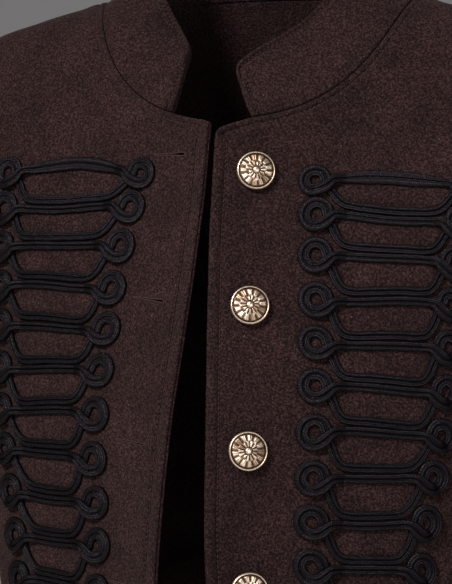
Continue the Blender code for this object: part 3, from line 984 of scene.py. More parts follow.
    def middle_rows(self) -> Array:
        """Levels of a panel's middle rows: even below the armhole, crowded to its ends, even above.

        Returns:
            Levels, rising.
        """
        hole = self.hole_middle + self.hole_half * np.cos(np.linspace(np.pi, 0.0, self.rows_beside))
        below = np.linspace(self.first_row, self.underarm, self.rows_below)[:-1]
        above = np.linspace(self.shoulder_tip, self.last_row, self.rows_above)[1:]
        return np.concatenate((below, hole, above))


def end_paths(torso: TorsoForm, surface: Surface, shares: dict[str, Array], side: Side) -> dict[str, Pair]:
    """Paths of the stitching along the neck and the hem of a panel, in their grooves.

    Args:
        torso: Form of the body.
        surface: Point of the panel by share and row.
        shares: Shares along the neck and the hem.
        side: Side of the wearer.

    Returns:
        Paths by edge.
    """
    paths = {}
    for label, distance, high in (("neck", NECK_LINE, True), ("hem", HEM_LINE, False)):
        rows = inside_line(surface, shares[label], torso.levels, distance, high)
        paths[label] = sunk_path(surface, shares[label], rows, PANEL_SINK, side)
    return paths


@dataclass(frozen=True)
class FrontStyle:
    """Sizes by which one front differs from the other.

    The dip is in ring levels; the trims are at the chest and at the neck.
    """

    dip: float
    stitch_line: float
    groove: float
    trim: Size


FRONT_STYLES = {
    Side.RIGHT: FrontStyle(0.06, 0.0100, 0.00160, (0.0016, 0.0038)),
    Side.LEFT: FrontStyle(0.34, 0.0068, 0.00110, (0.0010, 0.0)),
}


@dataclass
class Front:
    """One front of the jacket, with its edge stitching, and the map that trims are placed by."""

    torso: TorsoForm
    side: Side
    facing: float = 0.0014
    facing_width: float = 0.045
    corner: float = 0.0030
    dip_share: float = 0.11
    dip_power: float = 1.4
    trim_fade: Size = (6.0, 4.0)
    edge_fade: Size = (0.0020, 0.0030)
    swell_fade: Size = (0.012, 0.02)
    edge_sink: float = 0.0003
    edge_rows: Span = (0.05, 9.55, 700)
    edge_shares: Span = (0.0, 0.12, 121)
    neck_shares: Span = (0.055, 0.995, 300)
    hem_shares: Span = (0.04, 0.995, 300)
    edge_crowd: float = 1.3
    flat: Size = (0.330, 0.620)
    columns: int = 76
    dense_columns: int = 181
    map_levels: int = 361
    map_rows: int = 480
    map_columns: int = 141
    map_heights: Size = (-0.58, -0.082)

    def __post_init__(self) -> None:
        """Makes the map of angles and levels by height and distance from the edge."""
        self.style = FRONT_STYLES[self.side]
        shares = np.linspace(0.0, 1.0, self.map_columns) ** self.edge_crowd
        share, level = np.meshgrid(shares, np.linspace(0.0, self.torso.neck, self.map_levels))
        around = self.side.value * self.torso.front_angle(share, level)
        points = self.torso.body(around, level)
        self.heights = np.linspace(*self.map_heights, self.map_rows)
        maps = [read_lines(self.heights, points[..., 2].T, part.T).T
                for part in (*np.moveaxis(points, -1, 0), around, level)]
        self.runs = run_along(np.stack(maps[:3], axis=-1), 1)
        self.angles, self.levels = maps[3:]

    def trim(self, level: Array) -> Array:
        """Width that the turned edge takes off the front, changing toward the neck."""
        low, high = self.style.trim
        return low + (high - low) * fade(level, *self.trim_fade)

    def place(self, distance: Array, height: Array) -> Pair:
        """Points and normals of the cloth, read from the map in straight steps between its rows and columns.

        Args:
            distance: Distances from the front edge along the cloth.
            height: Heights.

        Returns:
            Points and normals.
        """
        row = (height - self.heights[0]) / (self.heights[1] - self.heights[0])
        low = np.clip(np.floor(row).astype(int), 0, self.map_rows - 2)
        part = (row - low)[:, None]
        runs, *maps = (values[low] + part * (values[low + 1] - values[low])
                       for values in (self.runs, self.angles, self.levels))
        around, level = (read_lines(distance[:, None], runs, values)[:, 0] for values in maps)
        return self.torso.cloth(around, level), normal_of(self.torso.cloth, around, level)

    def surface(self, share: Array, row: Array) -> Array:
        """Cloth of the front; its top rows dip toward the edge by a power of the distance.

        Args:
            share: Share of the way from the front edge to the side.
            row: Row from the hem to the neck.

        Returns:
            Points.
        """
        dip = self.style.dip * np.maximum(1.0 - share / self.dip_share, 0.0) ** self.dip_power
        level = row - dip * soft_step(row - (self.torso.neck - 1.0))
        around = self.torso.front_angle(share, level, self.trim(level))
        return self.torso.cloth(self.side.value * around, level)

    def relief(self, grid: Layout) -> Array:
        """Height of the outer face: bells across the rolled edge, the stitch grooves inside edge, neck and
        hem, and a swell under the collar.

        Args:
            grid: Layout of the front.

        Returns:
            Heights over the surface.
        """
        line = self.style.stitch_line
        edge_bells = ((0.00080, 0.5 * line, 0.36 * line), (-self.style.groove, line, 0.0010),
                      (0.00035, line + 0.0045, 0.0034))
        edge = fade(grid.high, *self.edge_fade) * relief_of(grid.left, edge_bells)
        neck = fade(grid.left, *self.edge_fade) * relief_of(grid.high, NECK_BELLS)
        swell = fade(grid.left, *self.swell_fade) * relief_of(grid.high, SWELL_BELLS)
        return edge + neck + relief_of(grid.low, HEM_BELLS) + swell

    def build(self, wardrobe: Wardrobe) -> Piece:
        """Builds the front as a cloth wall.

        Args:
            wardrobe: Shared finishes.

        Returns:
            The piece.
        """
        across = np.linspace(0.0, 1.0, self.dense_columns) ** self.edge_crowd
        edge = run_along(self.surface(across, np.full_like(across, self.torso.neck)))
        crowd = Crowding(low=stitch_crowd(HEM_LINE), high=stitch_crowd(NECK_LINE),
                         left=stitch_crowd(self.style.stitch_line), columns=self.columns, blend=7)
        trim = corner_cut(edge, self.corner)
        grid = lay_out(self.surface, across, self.torso.levels, self.torso.middle_rows(), crowd, trim)
        thickness = WALL + self.facing * (1.0 - soft_step(grid.left / self.facing_width))
        edges = Edges(left=EdgeKind.FACED, low=EdgeKind.TURNED, high=EdgeKind.TURNED)
        node = "front_" + self.side.label
        return add_cloth(node, self.surface, grid, self.relief(grid), edges, wardrobe.wool, thickness,
                         self.side)

    def stitching(self) -> dict[str, Pair]:
        """Paths of the stitching inside the edge, from the hem to just under the neck, and along the neck
        and the hem.

        Returns:
            Paths by edge.
        """
        rows, share = np.linspace(*self.edge_rows), np.linspace(*self.edge_shares)
        run = run_along(self.surface(*np.meshgrid(share, rows)), 1)
        at = read_lines(self.style.stitch_line, run, share)[:, 0]
        shares = {"neck": np.linspace(*self.neck_shares), "hem": np.linspace(*self.hem_shares)}
        edge = sunk_path(self.surface, at, rows, self.edge_sink, self.side)
        return {"edge": edge, **end_paths(self.torso, self.surface, shares, self.side)}


@dataclass
class Back:
    """The back of the jacket."""

    torso: TorsoForm
    flat: Size = (0.560, 0.640)
    columns: int = 124
    dense_columns: int = 241
    end_shares: Span = (0.004, 0.996, 500)

    def surface(self, share: Array, level: Array) -> Array:
        """Cloth of the back by share from the left seam to the right seam."""
        return self.torso.cloth(self.torso.back_angle(share, level), level)

    def build(self, wardrobe: Wardrobe) -> Piece:
        """Builds the back as a cloth wall.

        Args:
            wardrobe: Shared finishes.

        Returns:
            The piece.
        """
        crowd = Crowding(low=stitch_crowd(HEM_LINE), high=stitch_crowd(NECK_LINE), columns=self.columns,
                         blend=7)
        across = np.linspace(0.0, 1.0, self.dense_columns)
        grid = lay_out(self.surface, across, self.torso.levels, self.torso.middle_rows(), crowd)
        relief = relief_of(grid.high, NECK_BELLS + SWELL_BELLS) + relief_of(grid.low, HEM_BELLS)
        edges = Edges(low=EdgeKind.TURNED, high=EdgeKind.TURNED)
        return add_cloth("back", self.surface, grid, relief, edges, wardrobe.wool)

    def stitching(self) -> dict[str, Pair]:
        """Paths of the stitching along the neck and the hem."""
        share = np.linspace(*self.end_shares)
        return end_paths(self.torso, self.surface, {"neck": share, "hem": share}, Side.LEFT)


@dataclass
class Sleeve:
    """A two-piece sleeve: a cap drawn from the armhole to the arm's rings, with folds at the elbow."""

    torso: TorsoForm
    side: Side
    # across, forward, height, half side, half deep, from upper arm to cuff
    arm: Table = (
        (0.262, 0.004, -0.252, 0.062, 0.073),
        (0.279, 0.002, -0.325, 0.058, 0.067),
        (0.293, -0.006, -0.400, 0.055, 0.062),
        (0.303, -0.026, -0.480, 0.052, 0.058),
        (0.310, -0.052, -0.560, 0.049, 0.054),
        (0.314, -0.074, -0.620, 0.048, 0.052),
    )
    cap_start: Triple = (0.93, 0.0, -0.37)
    cap_pull: float = 0.85
    seam: float = radians(100.0)
    seam_turn: float = 0.0032
    # station, angle round from the outside, half width, half length, lean, depth
    folds: Table = (
        (1.7, 95.0, 0.22, 55.0, 0.30, -0.0060),
        (2.3, 80.0, 0.20, 60.0, -0.25, -0.0070),
        (3.0, 110.0, 0.22, 50.0, 0.20, -0.0050),
        (0.7, 190.0, 0.25, 60.0, -0.35, -0.0060),
    )
    creases: Table = (
        (1.25, 60.0, 0.13, 42.0, -0.22, -0.0030),
        (2.05, 120.0, 0.12, 40.0, 0.26, -0.0034),
        (2.70, 70.0, 0.12, 46.0, 0.18, -0.0034),
        (3.55, 95.0, 0.13, 44.0, -0.20, -0.0028),
        (1.60, 250.0, 0.14, 50.0, 0.24, -0.0030),
        (2.45, 230.0, 0.13, 46.0, -0.22, -0.0032),
        (3.30, 265.0, 0.14, 48.0, 0.20, -0.0026),
        (4.20, 40.0, 0.14, 52.0, 0.16, -0.0024),
        (4.10, 200.0, 0.14, 46.0, -0.18, -0.0024),
        (0.45, 330.0, 0.15, 44.0, 0.30, -0.0026),
        (0.35, 100.0, 0.14, 40.0, -0.30, -0.0030),
    )
    crease_shoulder: float = 0.9
    lean_span: float = 60.0
    tuck_fade: float = 0.3
    edge_step: float = 0.6
    cap_bells: Table = ((0.0004, 0.006, 0.005),)
    cuff_bells: Table = ((-0.0006, HEM_LINE, 0.0011),)
    top_columns: int = 54
    under_columns: int = 40
    dense_columns: int = 121
    dense_rows: Span = (-1.0, 5.0, 361)
    cap_rows: Span = (-0.90, 0.0, 26)
    arm_rows: Span = (0.04, 4.62, 100)
    cuff_rows: Span = (4.0, 5.0, 101)
    normal_reach: Size = (-0.998, 4.998)
    ring_step: float = 0.01
    hole_samples: int = 18
    cuff_samples: int = 400
    cuff_sink: float = 0.0004
    top_flat: Size = (0.270, 0.640)
    under_flat: Size = (0.200, 0.520)

    def depth(self, turn: Array, station: Array) -> Array:
        """Depth of folds and creases: leaning bells of station and angle, creases with raised shoulders.

        Args:
            turn: Angle round from the outside.
            station: Place down the arm's rings.

        Returns:
            Depths.
        """
        depth = np.zeros(np.broadcast(turn, station).shape)
        for rows, shoulder in ((self.folds, 0.0), (self.creases, self.crease_shoulder)):
            for place, around, half_width, half_length, lean, deep in rows:
                round_by = (np.degrees(turn) - around + 180.0) % 360.0 - 180.0
                down = (station - place - lean * round_by / self.lean_span) / half_width
                bell = np.exp(-down ** 2 - (round_by / half_length) ** 2)
                depth = depth + deep * (1.0 - shoulder * down ** 2) * bell
        return depth

    def rings(self, turn: Array, station: Array) -> Pair:
        """Oval rings: a cosine of the angle outward and a sine forward, square to the arm's line.

        Args:
            turn: Angle round from the outside.
            station: Place down the arm's rings.

        Returns:
            Points, and directions down the arm.
        """
        rows = np.array(self.arm)
        values = spline(rows, station)
        ahead, behind = (spline(rows, station + step)[..., :3] for step in (self.ring_step, -self.ring_step))
        run = unit(ahead - behind)
        fore = unit(np.cross(run, np.array((1.0, 0.0, 0.0))))
        out = unit(np.cross(fore, run))
        spoke = values[..., 3:4] * np.cos(turn)[..., None] * out
        spoke = spoke + values[..., 4:5] * np.sin(turn)[..., None] * fore
        return values[..., :3] + spoke + self.depth(turn, station)[..., None] * unit(spoke), run

    def surface(self, turn: Array, down: Array) -> Array:
        """Sleeve by angle and place down it, mirrored on the right: below nought a cubic from just behind
        the armhole's edge to the first ring, then the rings.

        Args:
            turn: Angle round from the outside.
            down: Place from minus one at the armhole to the last ring station.

        Returns:
            Points.
        """
        turn, down = np.broadcast_arrays(turn, down)
        hole, normal = self.torso.armhole(turn)
        inward = self.torso.armhole(circle(self.hole_samples))[0].mean(axis=0) - hole
        inward = unit(inward - np.sum(inward * normal, axis=-1, keepdims=True) * normal)
        way = unit(np.array(self.cap_start))
        tuck = WALL * np.clip(normal @ way, 0.0, 1.0) * soft_step(inward @ way / self.tuck_fade)
        start = hole + self.edge_step * SEAM_GAP * inward - tuck[..., None] * normal
        first, run = self.rings(turn, np.zeros_like(down))
        pull = self.cap_pull * np.linalg.norm(first - start, axis=-1, keepdims=True)
        share = np.clip(down + 1.0, 0.0, 1.0)[..., None]
        cap = cubic(share, start, pull * way, first, pull * run)
        arm = self.rings(turn, np.maximum(down, 0.0))[0]
        return np.where((down < 0.0)[..., None], cap, arm) * (self.side.value, 1.0, 1.0)

    def build(self, wardrobe: Wardrobe) -> dict[str, Piece]:
        """Builds the top and under pieces as cloth walls.

        Args:
            wardrobe: Shared finishes.

        Returns:
            Pieces by name.
        """
        spans = {"top": (-self.seam, self.seam, self.top_columns),
                 "under": (self.seam, FULL_TURN - self.seam, self.under_columns)}
        keep = np.concatenate((np.linspace(*self.cap_rows), np.linspace(*self.arm_rows)))
        up = np.linspace(*self.dense_rows)
        edges = Edges(low=EdgeKind.SET_IN, high=EdgeKind.TURNED)
        pieces = {}
        for label, (first, last, columns) in spans.items():
            across = np.linspace(first + self.seam_turn, last - self.seam_turn, self.dense_columns)
            crowd = Crowding(high=stitch_crowd(HEM_LINE), columns=columns, blend=2)
            grid = lay_out(self.surface, across, up, keep, crowd)
            relief = relief_of(grid.low, self.cap_bells) + relief_of(grid.high, self.cuff_bells)
            node = "sleeve_%s_%s" % (self.side.label, label)
            pieces[label] = add_cloth(node, self.surface, grid, relief, edges, wardrobe.wool,
                                      side=self.side, reach=self.normal_reach)
        return pieces

    def stitching(self) -> Pair:
        """Pair of the stitching round the cuff, in its groove.

        Returns:
            Points and normals.
        """
        turn = np.linspace(-self.seam, FULL_TURN - self.seam, self.cuff_samples)
        down = inside_line(self.surface, turn, np.linspace(*self.cuff_rows), HEM_LINE, True)
        return sunk_path(self.surface, turn, down, self.cuff_sink, self.side)


@dataclass
class Collar:
    """Stand collar: a band from the left end round the back to the right end, stitched inside its edge."""

    torso: TorsoForm
    height: float = 0.058
    left_height: float = 0.038
    right_height: float = 0.0445
    end_fade: float = radians(9.4)
    left_end: float = radians(9.9)
    right_end: float = radians(17.0)
    left_lean: float = radians(6.6)
    right_lean: float = radians(-2.8)
    lean: float = 0.578
    back_lean: float = 0.28
    bend: float = 0.10
    gap: float = 0.0006
    stitch_line: float = 0.0038
    facing: float = 0.0014
    facing_width: float = 0.030
    corner: float = 0.0042
    edge_bells: Table = ((0.00065, 0.0019, 0.0014), (-0.00200, 0.0038, 0.0009), (0.0004, 0.0078, 0.0028))
    foot_bells: Table = ((0.0006, 0.0060, 0.0050),)
    columns: int = 150
    dense_columns: int = 481
    dense_rows: int = 121
    middle_rows: Span = (0.16, 0.66, 14)
    foot_row: float = 0.0045
    grain_step: float = 0.02
    stitch_rows: int = 61
    stitch_foot: float = 0.03
    stitch_corner: float = 0.85
    stitch_sink: float = 0.0006
    flat: Size = (0.470, 0.066)

    def surface(self, place: Array, rise: Array) -> Array:
        """Outer face: from the neck ring it turns from the panel's grain into its own lean as it rises.

        Args:
            place: Share of the way from the left end to the right end.
            rise: Share of the height.

        Returns:
            Points.
        """
        start = self.left_end - self.left_lean * rise
        stop = 2.0 * np.pi - self.right_end + self.right_lean * rise
        around = start + place * (stop - start)
        level = np.full_like(around, self.torso.neck)
        foot = self.torso.plain(around, level)
        grain = unit(foot - self.torso.plain(around, level - self.grain_step))
        lean = self.lean + (self.back_lean - self.lean) * np.maximum(-np.cos(around), 0.0)
        up = unit(np.stack((-lean * np.sin(around), lean * np.cos(around), np.ones_like(around)), axis=-1))
        turn = self.bend * (1.0 - np.exp(-rise / self.bend))[..., None]
        tall = self.height - (self.height - self.left_height) * np.exp((start - around) / self.end_fade)
        tall = tall - (self.height - self.right_height) * np.exp((around - stop) / self.end_fade)
        return foot + self.gap * grain + tall[..., None] * (rise[..., None] * up + turn * (grain - up))

    @property
    def across(self) -> Array:
        """Dense places along the collar, crowded toward both ends."""
        return 0.5 - 0.5 * np.cos(np.linspace(0.0, np.pi, self.dense_columns))

    def build(self, wardrobe: Wardrobe) -> Piece:
        """Builds the collar as a cloth wall with round corners.

        Args:
            wardrobe: Shared finishes.

        Returns:
            The piece.
        """
        run = run_along(self.surface(self.across, np.ones(self.dense_columns)))
        trim = corner_cut(np.minimum(run, run[-1] - run), self.corner)
        stitched = stitch_crowd(self.stitch_line)
        crowd = Crowding(low=EDGE_ROLL + (self.foot_row,), high=stitched, left=stitched, right=stitched,
                         columns=self.columns, blend=1)
        up, keep = np.linspace(0.0, 1.0, self.dense_rows), np.linspace(*self.middle_rows)
        grid = lay_out(self.surface, self.across, up, keep, crowd, trim)
        ends = np.minimum(grid.left, grid.right)
        edge = np.minimum(ends, grid.high)
        relief = relief_of(edge, self.edge_bells) + relief_of(grid.low, self.foot_bells)
        edges = Edges(left=EdgeKind.FACED, right=EdgeKind.FACED, high=EdgeKind.FACED)
        thickness = COLLAR_WALL + self.facing * (1.0 - soft_step(ends / self.facing_width))
        return add_cloth("collar", self.surface, grid, relief, edges, wardrobe.wool, thickness)

    def stitching(self) -> Pair:
        """Pair of the stitching: up one end, along the top and down the other, in its groove.

        Returns:
            Points and normals.
        """
        dense, up = self.across, np.linspace(0.0, 1.0, self.stitch_rows)
        run = run_along(self.surface(*np.meshgrid(dense, up)), 1)
        inset = read_lines(self.stitch_line, run, dense)[:, 0]
        offset = read_lines(run[:, -1:] - self.stitch_line, run, dense)[:, 0]
        crown = inside_line(self.surface, dense, up, self.stitch_line, True)
        first, last = (np.interp(self.stitch_corner, up, end) for end in (inset, offset))
        top = (dense > first) & (dense < last)
        low, high = np.interp((first, last), dense, crown)
        rows, back_rows = (up[(up > self.stitch_foot) & (up < end)] for end in (low, high))
        back_rows = back_rows[::-1]
        place = np.concatenate((np.interp(rows, up, inset), dense[top], np.interp(back_rows, up, offset)))
        rise = np.concatenate((rows, crown[top], back_rows))
        return sunk_path(self.surface, place, rise, self.stitch_sink)


@dataclass
class FrogSet:
    """Braid frogs of one front: closed strips of ribbed braid, a ring at each end and bars between, sewn on
    by hand and so a little uneven."""

    front: Front
    width: float = 0.0055
    ring_swell: float = 0.38
    height: float = 0.0027
    rest: float = 0.0002
    lift: float = 0.0026
    ring_radius: float = 0.0070
    ring_share: float = 0.31
    outer_squeeze: float = 0.82
    strand_step: float = 0.0059
    last_pitch: float = 0.0260
    samples: int = 300
    groove: float = 0.95
    rib_groove: float = 0.42
    edge_height: float = 0.22
    double_spread: float = 0.55
    bar_fade: Size = (0.012, 0.020)
    bar_depth: float = 0.004
    # size, turns by distance and by height, and start of the waves in the sewn line and in the width
    waves: Table = ((0.0008, 52.0, 61.0, 0.0), (0.0005, 97.0, -43.0, 1.3))
    waver: Table = ((0.035, 310.0, 0.0, 4.0), (0.025, 770.0, 500.0, 0.0))
    # right and left: lean of the bars, height at which it begins, and the first frog's arch
    leans: Size = (0.05, -0.03)
    lean_starts: Size = (-0.22, -0.31)
    lean_span: float = 0.14
    lean_middle: float = 0.0555
    arches: Size = (0.0070, 0.0044)
    # right height, left height, right inner, left inner, right span, left span
    rows: Table = (
        (-0.1105, -0.1144, 0.0538, 0.0602, 0.0927, 0.0898),
        (-0.1315, -0.1350, 0.0581, 0.0624, 0.0884, 0.0833),
        (-0.1545, -0.1582, 0.0605, 0.0628, 0.0858, 0.0802),
        (-0.1787, -0.1830, 0.0620, 0.0635, 0.0830, 0.0778),
        (-0.2028, -0.2080, 0.0624, 0.0638, 0.0803, 0.0760),
        (-0.2278, -0.2333, 0.0632, 0.0638, 0.0771, 0.0747),
        (-0.2532, -0.2592, 0.0624, 0.0632, 0.0748, 0.0730),
        (-0.2790, -0.2850, 0.0616, 0.0631, 0.0717, 0.0690),
        (-0.3052, -0.3110, 0.0587, 0.0630, 0.0699, 0.0660),
        (-0.3308, -0.3370, 0.0557, 0.0625, 0.0683, 0.0635),
        (-0.3568, -0.3630, 0.0538, 0.0620, 0.0665, 0.0615),
    )

    @property
    def column(self) -> int:
        """Place of the side in the tables: nought for the right."""
        return list(Side).index(self.front.side)

    def profile(self) -> Array:
        """Braid section: a flat foot under a rounded back with a deep groove along the middle and a shallow
        one along each rib; width as a share of the half width, height in metres.

        Returns:
            Points of the section, round it once.
        """
        share = np.array((0.97, 0.88, 0.75, 0.62, 0.50, 0.38, 0.25, 0.12, 0.0))
        back = np.sqrt(1.0 - share ** 3.5)
        back = back * (1.0 + relief_of(share, ((-self.groove, 0.0, 0.15), (-self.rib_groove, 0.5, 0.12))))
        height = self.height * (self.edge_height + (1.0 - self.edge_height) * back)
        rib = np.stack((share, height), axis=-1)
        foot = np.array(((-0.94, 0.0), (0.94, 0.0)))
        return np.concatenate((foot, rib, rib[-2::-1] * (-1.0, 1.0)))

    def unevenness(self, distance: Array, height: Array) -> Array:
        """Rise of the sewn line off its pattern: two slow waves that neighbouring bars share, and a lean of
        the bars that grows downward on the right front and upward on the left.

        Args:
            distance: Distances from the front edge.
            height: Heights.

        Returns:
            Rises in metres.
        """
        start = self.lean_starts[self.column]
        lean = self.leans[self.column] * soft_step(self.front.side.value * (height - start) / self.lean_span)
        return waves_of(self.waves, distance, height) + lean * (distance - self.lean_middle)

    def widths(self, path: Array, span: float, doubled: bool) -> Array:
        """Half widths along a path: full on the bars, swollen round the rings, with a slow waver.

        Args:
            path: Centre line of the frog.
            span: Distance between its rings.
            doubled: Whether the top bar is doubled and spreads.

        Returns:
            Half widths.
        """
        x, y = path[:, 0], path[:, 1]
        ring = np.minimum(np.hypot(x, y), np.hypot(x - span, y))
        swell = self.ring_swell * soft_step((1.5 * self.ring_radius - ring) / (0.5 * self.ring_radius))
        bar = fade(np.minimum(x, span - x), *self.bar_fade) * (y > -self.bar_depth)
        spread = 1.0 + swell + waves_of(self.waver, x, y) + self.double_spread * doubled * bar
        return 0.5 * self.width * spread

    def end(self, drop: float, aside: float) -> Array:
        """Centre line of one end, from the top bar round the ring to the bottom bar.

        Args:
            drop: Distance from the top bar down to the bottom bar.
            aside: How far the last strand leans, as the next ring stands further in.

        Returns:
            Distance along, height and share of the lift at each knot.
        """
        ring = min(self.ring_radius, self.ring_share * (drop + self.strand_step))
        turn = np.radians(np.linspace(-125.0, -356.0, 7))
        loop = np.stack((ring * np.cos(turn), ring * np.sin(turn), np.zeros(7)), axis=-1)
        first = ((0.0185, 0.0, 0.0), (0.0144, -0.0001, 0.6), (0.0111, -0.0009, 1.0),
                 (0.0075, -0.52 * ring, 1.0), (0.62 * ring, -0.84 * ring, 1.0), (0.07 * ring, -ring, 0.75))
        last = ((0.0086, -0.0047, 0.0), (0.0104 + 0.3 * aside, -0.5 * drop, 0.0),
                (0.0130 + 0.75 * aside, -0.79 * drop, 0.0), (0.0165 + aside, -0.955 * drop, 0.0),
                (0.0212 + aside, -drop, 0.0))
        return np.concatenate((first, loop, last))

    def path(self, span: float, drop: float, arch: float, asides: Sequence[float]) -> Array:
        """Closed centre line: inner end, bottom bar, outer end mirrored, top bar with its arch.

        Args:
            span: Distance between the rings.
            drop: Distance from the top bar down to the bottom bar.
            arch: Rise of the top bar's middle.
            asides: Lean of the last strand at the inner and outer end.

        Returns:
            Samples of distance along, height and share of the lift.
        """
        inner = self.end(drop, asides[0])
        squeeze = 1.0 if self.front.side is Side.RIGHT else self.outer_squeeze
        outer = self.end(drop, asides[1])[::-1] * (-squeeze, 1.0, 1.0) + (span, 0.0, 0.0)
        level = np.zeros(3)
        bottom = np.stack((np.linspace(inner[-1, 0], outer[0, 0], 5)[1:-1], level - drop, level), axis=-1)
        top = np.stack((np.linspace(outer[-1, 0], inner[0, 0], 5)[1:-1], level, level), axis=-1)
        path = np.concatenate((inner, bottom, outer, top))
        share = np.clip(path[:, 0] / span, 0.0, 1.0)
        path[:, 1] += arch * np.sin(np.pi * share) ** 1.5 * (path[:, 1] > -0.2 * drop)
        return closed_curve(path, self.samples)

    def build(self, wardrobe: Wardrobe) -> list[Piece]:
        """Sweeps the braid section along each frog's path on the front.

        Args:
            wardrobe: Shared finishes.

        Returns:
            The frogs, top to bottom.
        """
        heights, inners, spans = np.array(self.rows)[:, self.column::2].T
        drops = -np.diff(heights, append=heights[-1] - self.last_pitch) - self.strand_step
        steps = np.diff(inners, append=inners[-1]), -np.diff(inners + spans, append=inners[-1] + spans[-1])
        asides = np.maximum(np.stack(steps, axis=-1), 0.0)
        profile = self.profile()
        pieces = []
        quads = grid_quads(self.samples, len(profile), wrap_rows=True, wrap_columns=True)
        for index, height in enumerate(heights):
            arch = self.arches[self.column] if index == 0 else 0.0
            path = self.path(spans[index], drops[index], arch, asides[index])
            away, rise = inners[index] + path[:, 0], height + path[:, 1]
            centre, normal = self.front.place(away, rise + self.unevenness(away, rise))
            along = np.roll(centre, -1, axis=0) - np.roll(centre, 1, axis=0)
            side = unit(np.cross(normal, along))
            centre = centre + (self.rest + self.lift * np.clip(path[:, 2:3], 0.0, 1.0)) * normal
            halves = self.widths(path, spans[index], index == 0)[:, None] * profile[:, 0]
            section = np.stack((halves, np.broadcast_to(profile[:, 1], halves.shape)), axis=-1)
            rings = swept(centre, side, normal, section)
            node = "frog_%s_%02d" % (self.front.side.label, index + 1)
            piece = add_piece("braid_" + node, rings, quads, wardrobe.braid, [node])
            self.map_braid(piece, centre, profile)
            pieces.append(piece)
        return pieces

    def map_braid(self, piece: Piece, centre: Array, profile: Array) -> None:
        """Gives the braid a map of its run in metres and its place across, whole at the join.

        Args:
            piece: Braid piece.
            centre: Centre line.
            profile: Braid section.
        """
        run = run_along(np.concatenate((centre, centre[:1])))
        across, ahead = profile[:, 0], np.roll(profile[:, 0], -1)
        u = np.stack((run[:-1], run[:-1], run[1:], run[1:]), axis=-1)[:, None]
        v = np.stack((across, ahead, ahead, across), axis=-1)[None]
        layer = piece.data.uv_layers.new(name="run")
        layer.data.foreach_set("uv", np.stack(np.broadcast_arrays(u, v), axis=-1).ravel())


@dataclass
class ButtonSet:
    """Shank buttons on the left front: a boss, a rosette of petals and a round rim."""

    front: Front
    radius: float = 0.0114
    from_edge: float = 0.0250
    rest: float = 0.0004
    petals: int = 13
    turns: int = 156
    heights: tuple[float, ...] = (-0.1095, -0.1880, -0.2708, -0.3500, -0.4300)
    boss: float = 0.185
    rim: Size = (0.945, 0.054)
    turn_step: float = 0.35
    petal_power: float = 1.1
    # size, turns round and start of the waves in the petals' reach and wear
    reach_waves: Table = ((0.05, 3.0, 0.0, 0.4), (0.04, 7.0, 0.0, 0.0))
    wear_waves: Table = ((0.24, 2.0, 0.0, 0.7), (0.18, 5.0, 0.0, 1.9))
    # radius share and height of the back, from the rim to the shank's foot
    under: Table = ((1.0, 0.0034), (0.985, 0.0028), (0.90, 0.0024), (0.60, 0.0021), (0.30, 0.0020),
                    (0.27, 0.0017), (0.26, 0.0))

    def form(self) -> Pair:
        """Button about its own axis: height by radius and angle, with its relief.

        The face is a domed boss, then two tiers of petals whose height is a rounded cosine of the angle
        fading to both ends, the outer tier set half a petal round, then a rim of half-round section; the back
        is a shallow dish with a shank.

        Returns:
            Rings of radius share and height, and relief from nought to one.
        """
        turn = circle(self.turns)[None, :]
        spans = ((0.02, 0.19, 8), (0.205, 0.87, 34), (0.88, 1.0, 10))
        share = np.concatenate([np.linspace(*span) for span in spans])[:, None]
        boss = np.sqrt(np.clip(1.0 - (share / self.boss) ** 2, 0.0, 1.0))
        near, far = (np.abs(wave(0.5 * self.petals * turn)) for wave in (np.cos, np.sin))
        reach = 0.56 + waves_of(self.reach_waves, turn)
        inner = near ** self.petal_power * fade(share, 0.18, 0.07) * soft_step((reach - share) / 0.10)
        outer = far ** self.petal_power * fade(share, 0.40, 0.16) * soft_step((0.86 - share) / 0.08)
        vein = bump_at(far, 0.0, 0.13) * inner + bump_at(near, 0.0, 0.15) * outer
        petal = np.maximum(inner, 0.85 * outer) * (1.0 + waves_of(self.wear_waves, turn)) - 0.45 * vein
        middle, half = self.rim
        rim = np.sqrt(np.clip(1.0 - ((share - middle) / half) ** 2, 0.0, 1.0))
        face = 0.0053 - 0.0020 * share ** 2 + 0.0009 * boss + 0.0008 * petal + 0.0010 * rim
        relief = np.clip(0.10 + 0.80 * boss + 0.80 * petal + 0.66 * rim, 0.0, 1.0)
        under = np.array(self.under)
        back = np.broadcast_to(under[:, 1:2], (len(under), self.turns))
        height = np.concatenate((face, back))
        radius = np.concatenate((share, under[:, :1])) + 0.0 * turn
        shade = np.concatenate((relief, np.full(back.shape, 0.3)))
        return np.stack((radius, height), axis=-1), shade

    def build(self, wardrobe: Wardrobe) -> list[Piece]:
        """Turns each button and sets it on the front.

        Args:
            wardrobe: Shared finishes.

        Returns:
            The buttons, top to bottom.
        """
        rings, shade = self.form()
        rows = len(rings)
        places = np.full(len(self.heights), self.from_edge)
        quads = grid_quads(rows, self.turns, wrap_columns=True)[:, ::-1].tolist()
        crown = list(range(self.turns))
        base = list(range((rows - 1) * self.turns, rows * self.turns))[::-1]
        pieces = []
        for index, (foot, out) in enumerate(zip(*self.front.place(places, np.array(self.heights)))):
            right = unit(np.cross(np.array((0.0, 0.0, 1.0)), out))
            turn = circle(self.turns) + self.turn_step * index
            spoke = np.cos(turn)[:, None] * right + np.sin(turn)[:, None] * np.cross(out, right)
            points = foot + self.rest * out + self.radius * rings[..., :1] * spoke + rings[..., 1:] * out
            node = "button_%d" % (index + 1)
            faces = [*quads, crown, base]
            piece = add_piece("brass_" + node, points, faces, wardrobe.brass, [node])
            relief = piece.data.attributes.new("relief", "FLOAT", "POINT")
            relief.data.foreach_set("value", shade.ravel().astype(np.float32))
            pieces.append(piece)
        return pieces


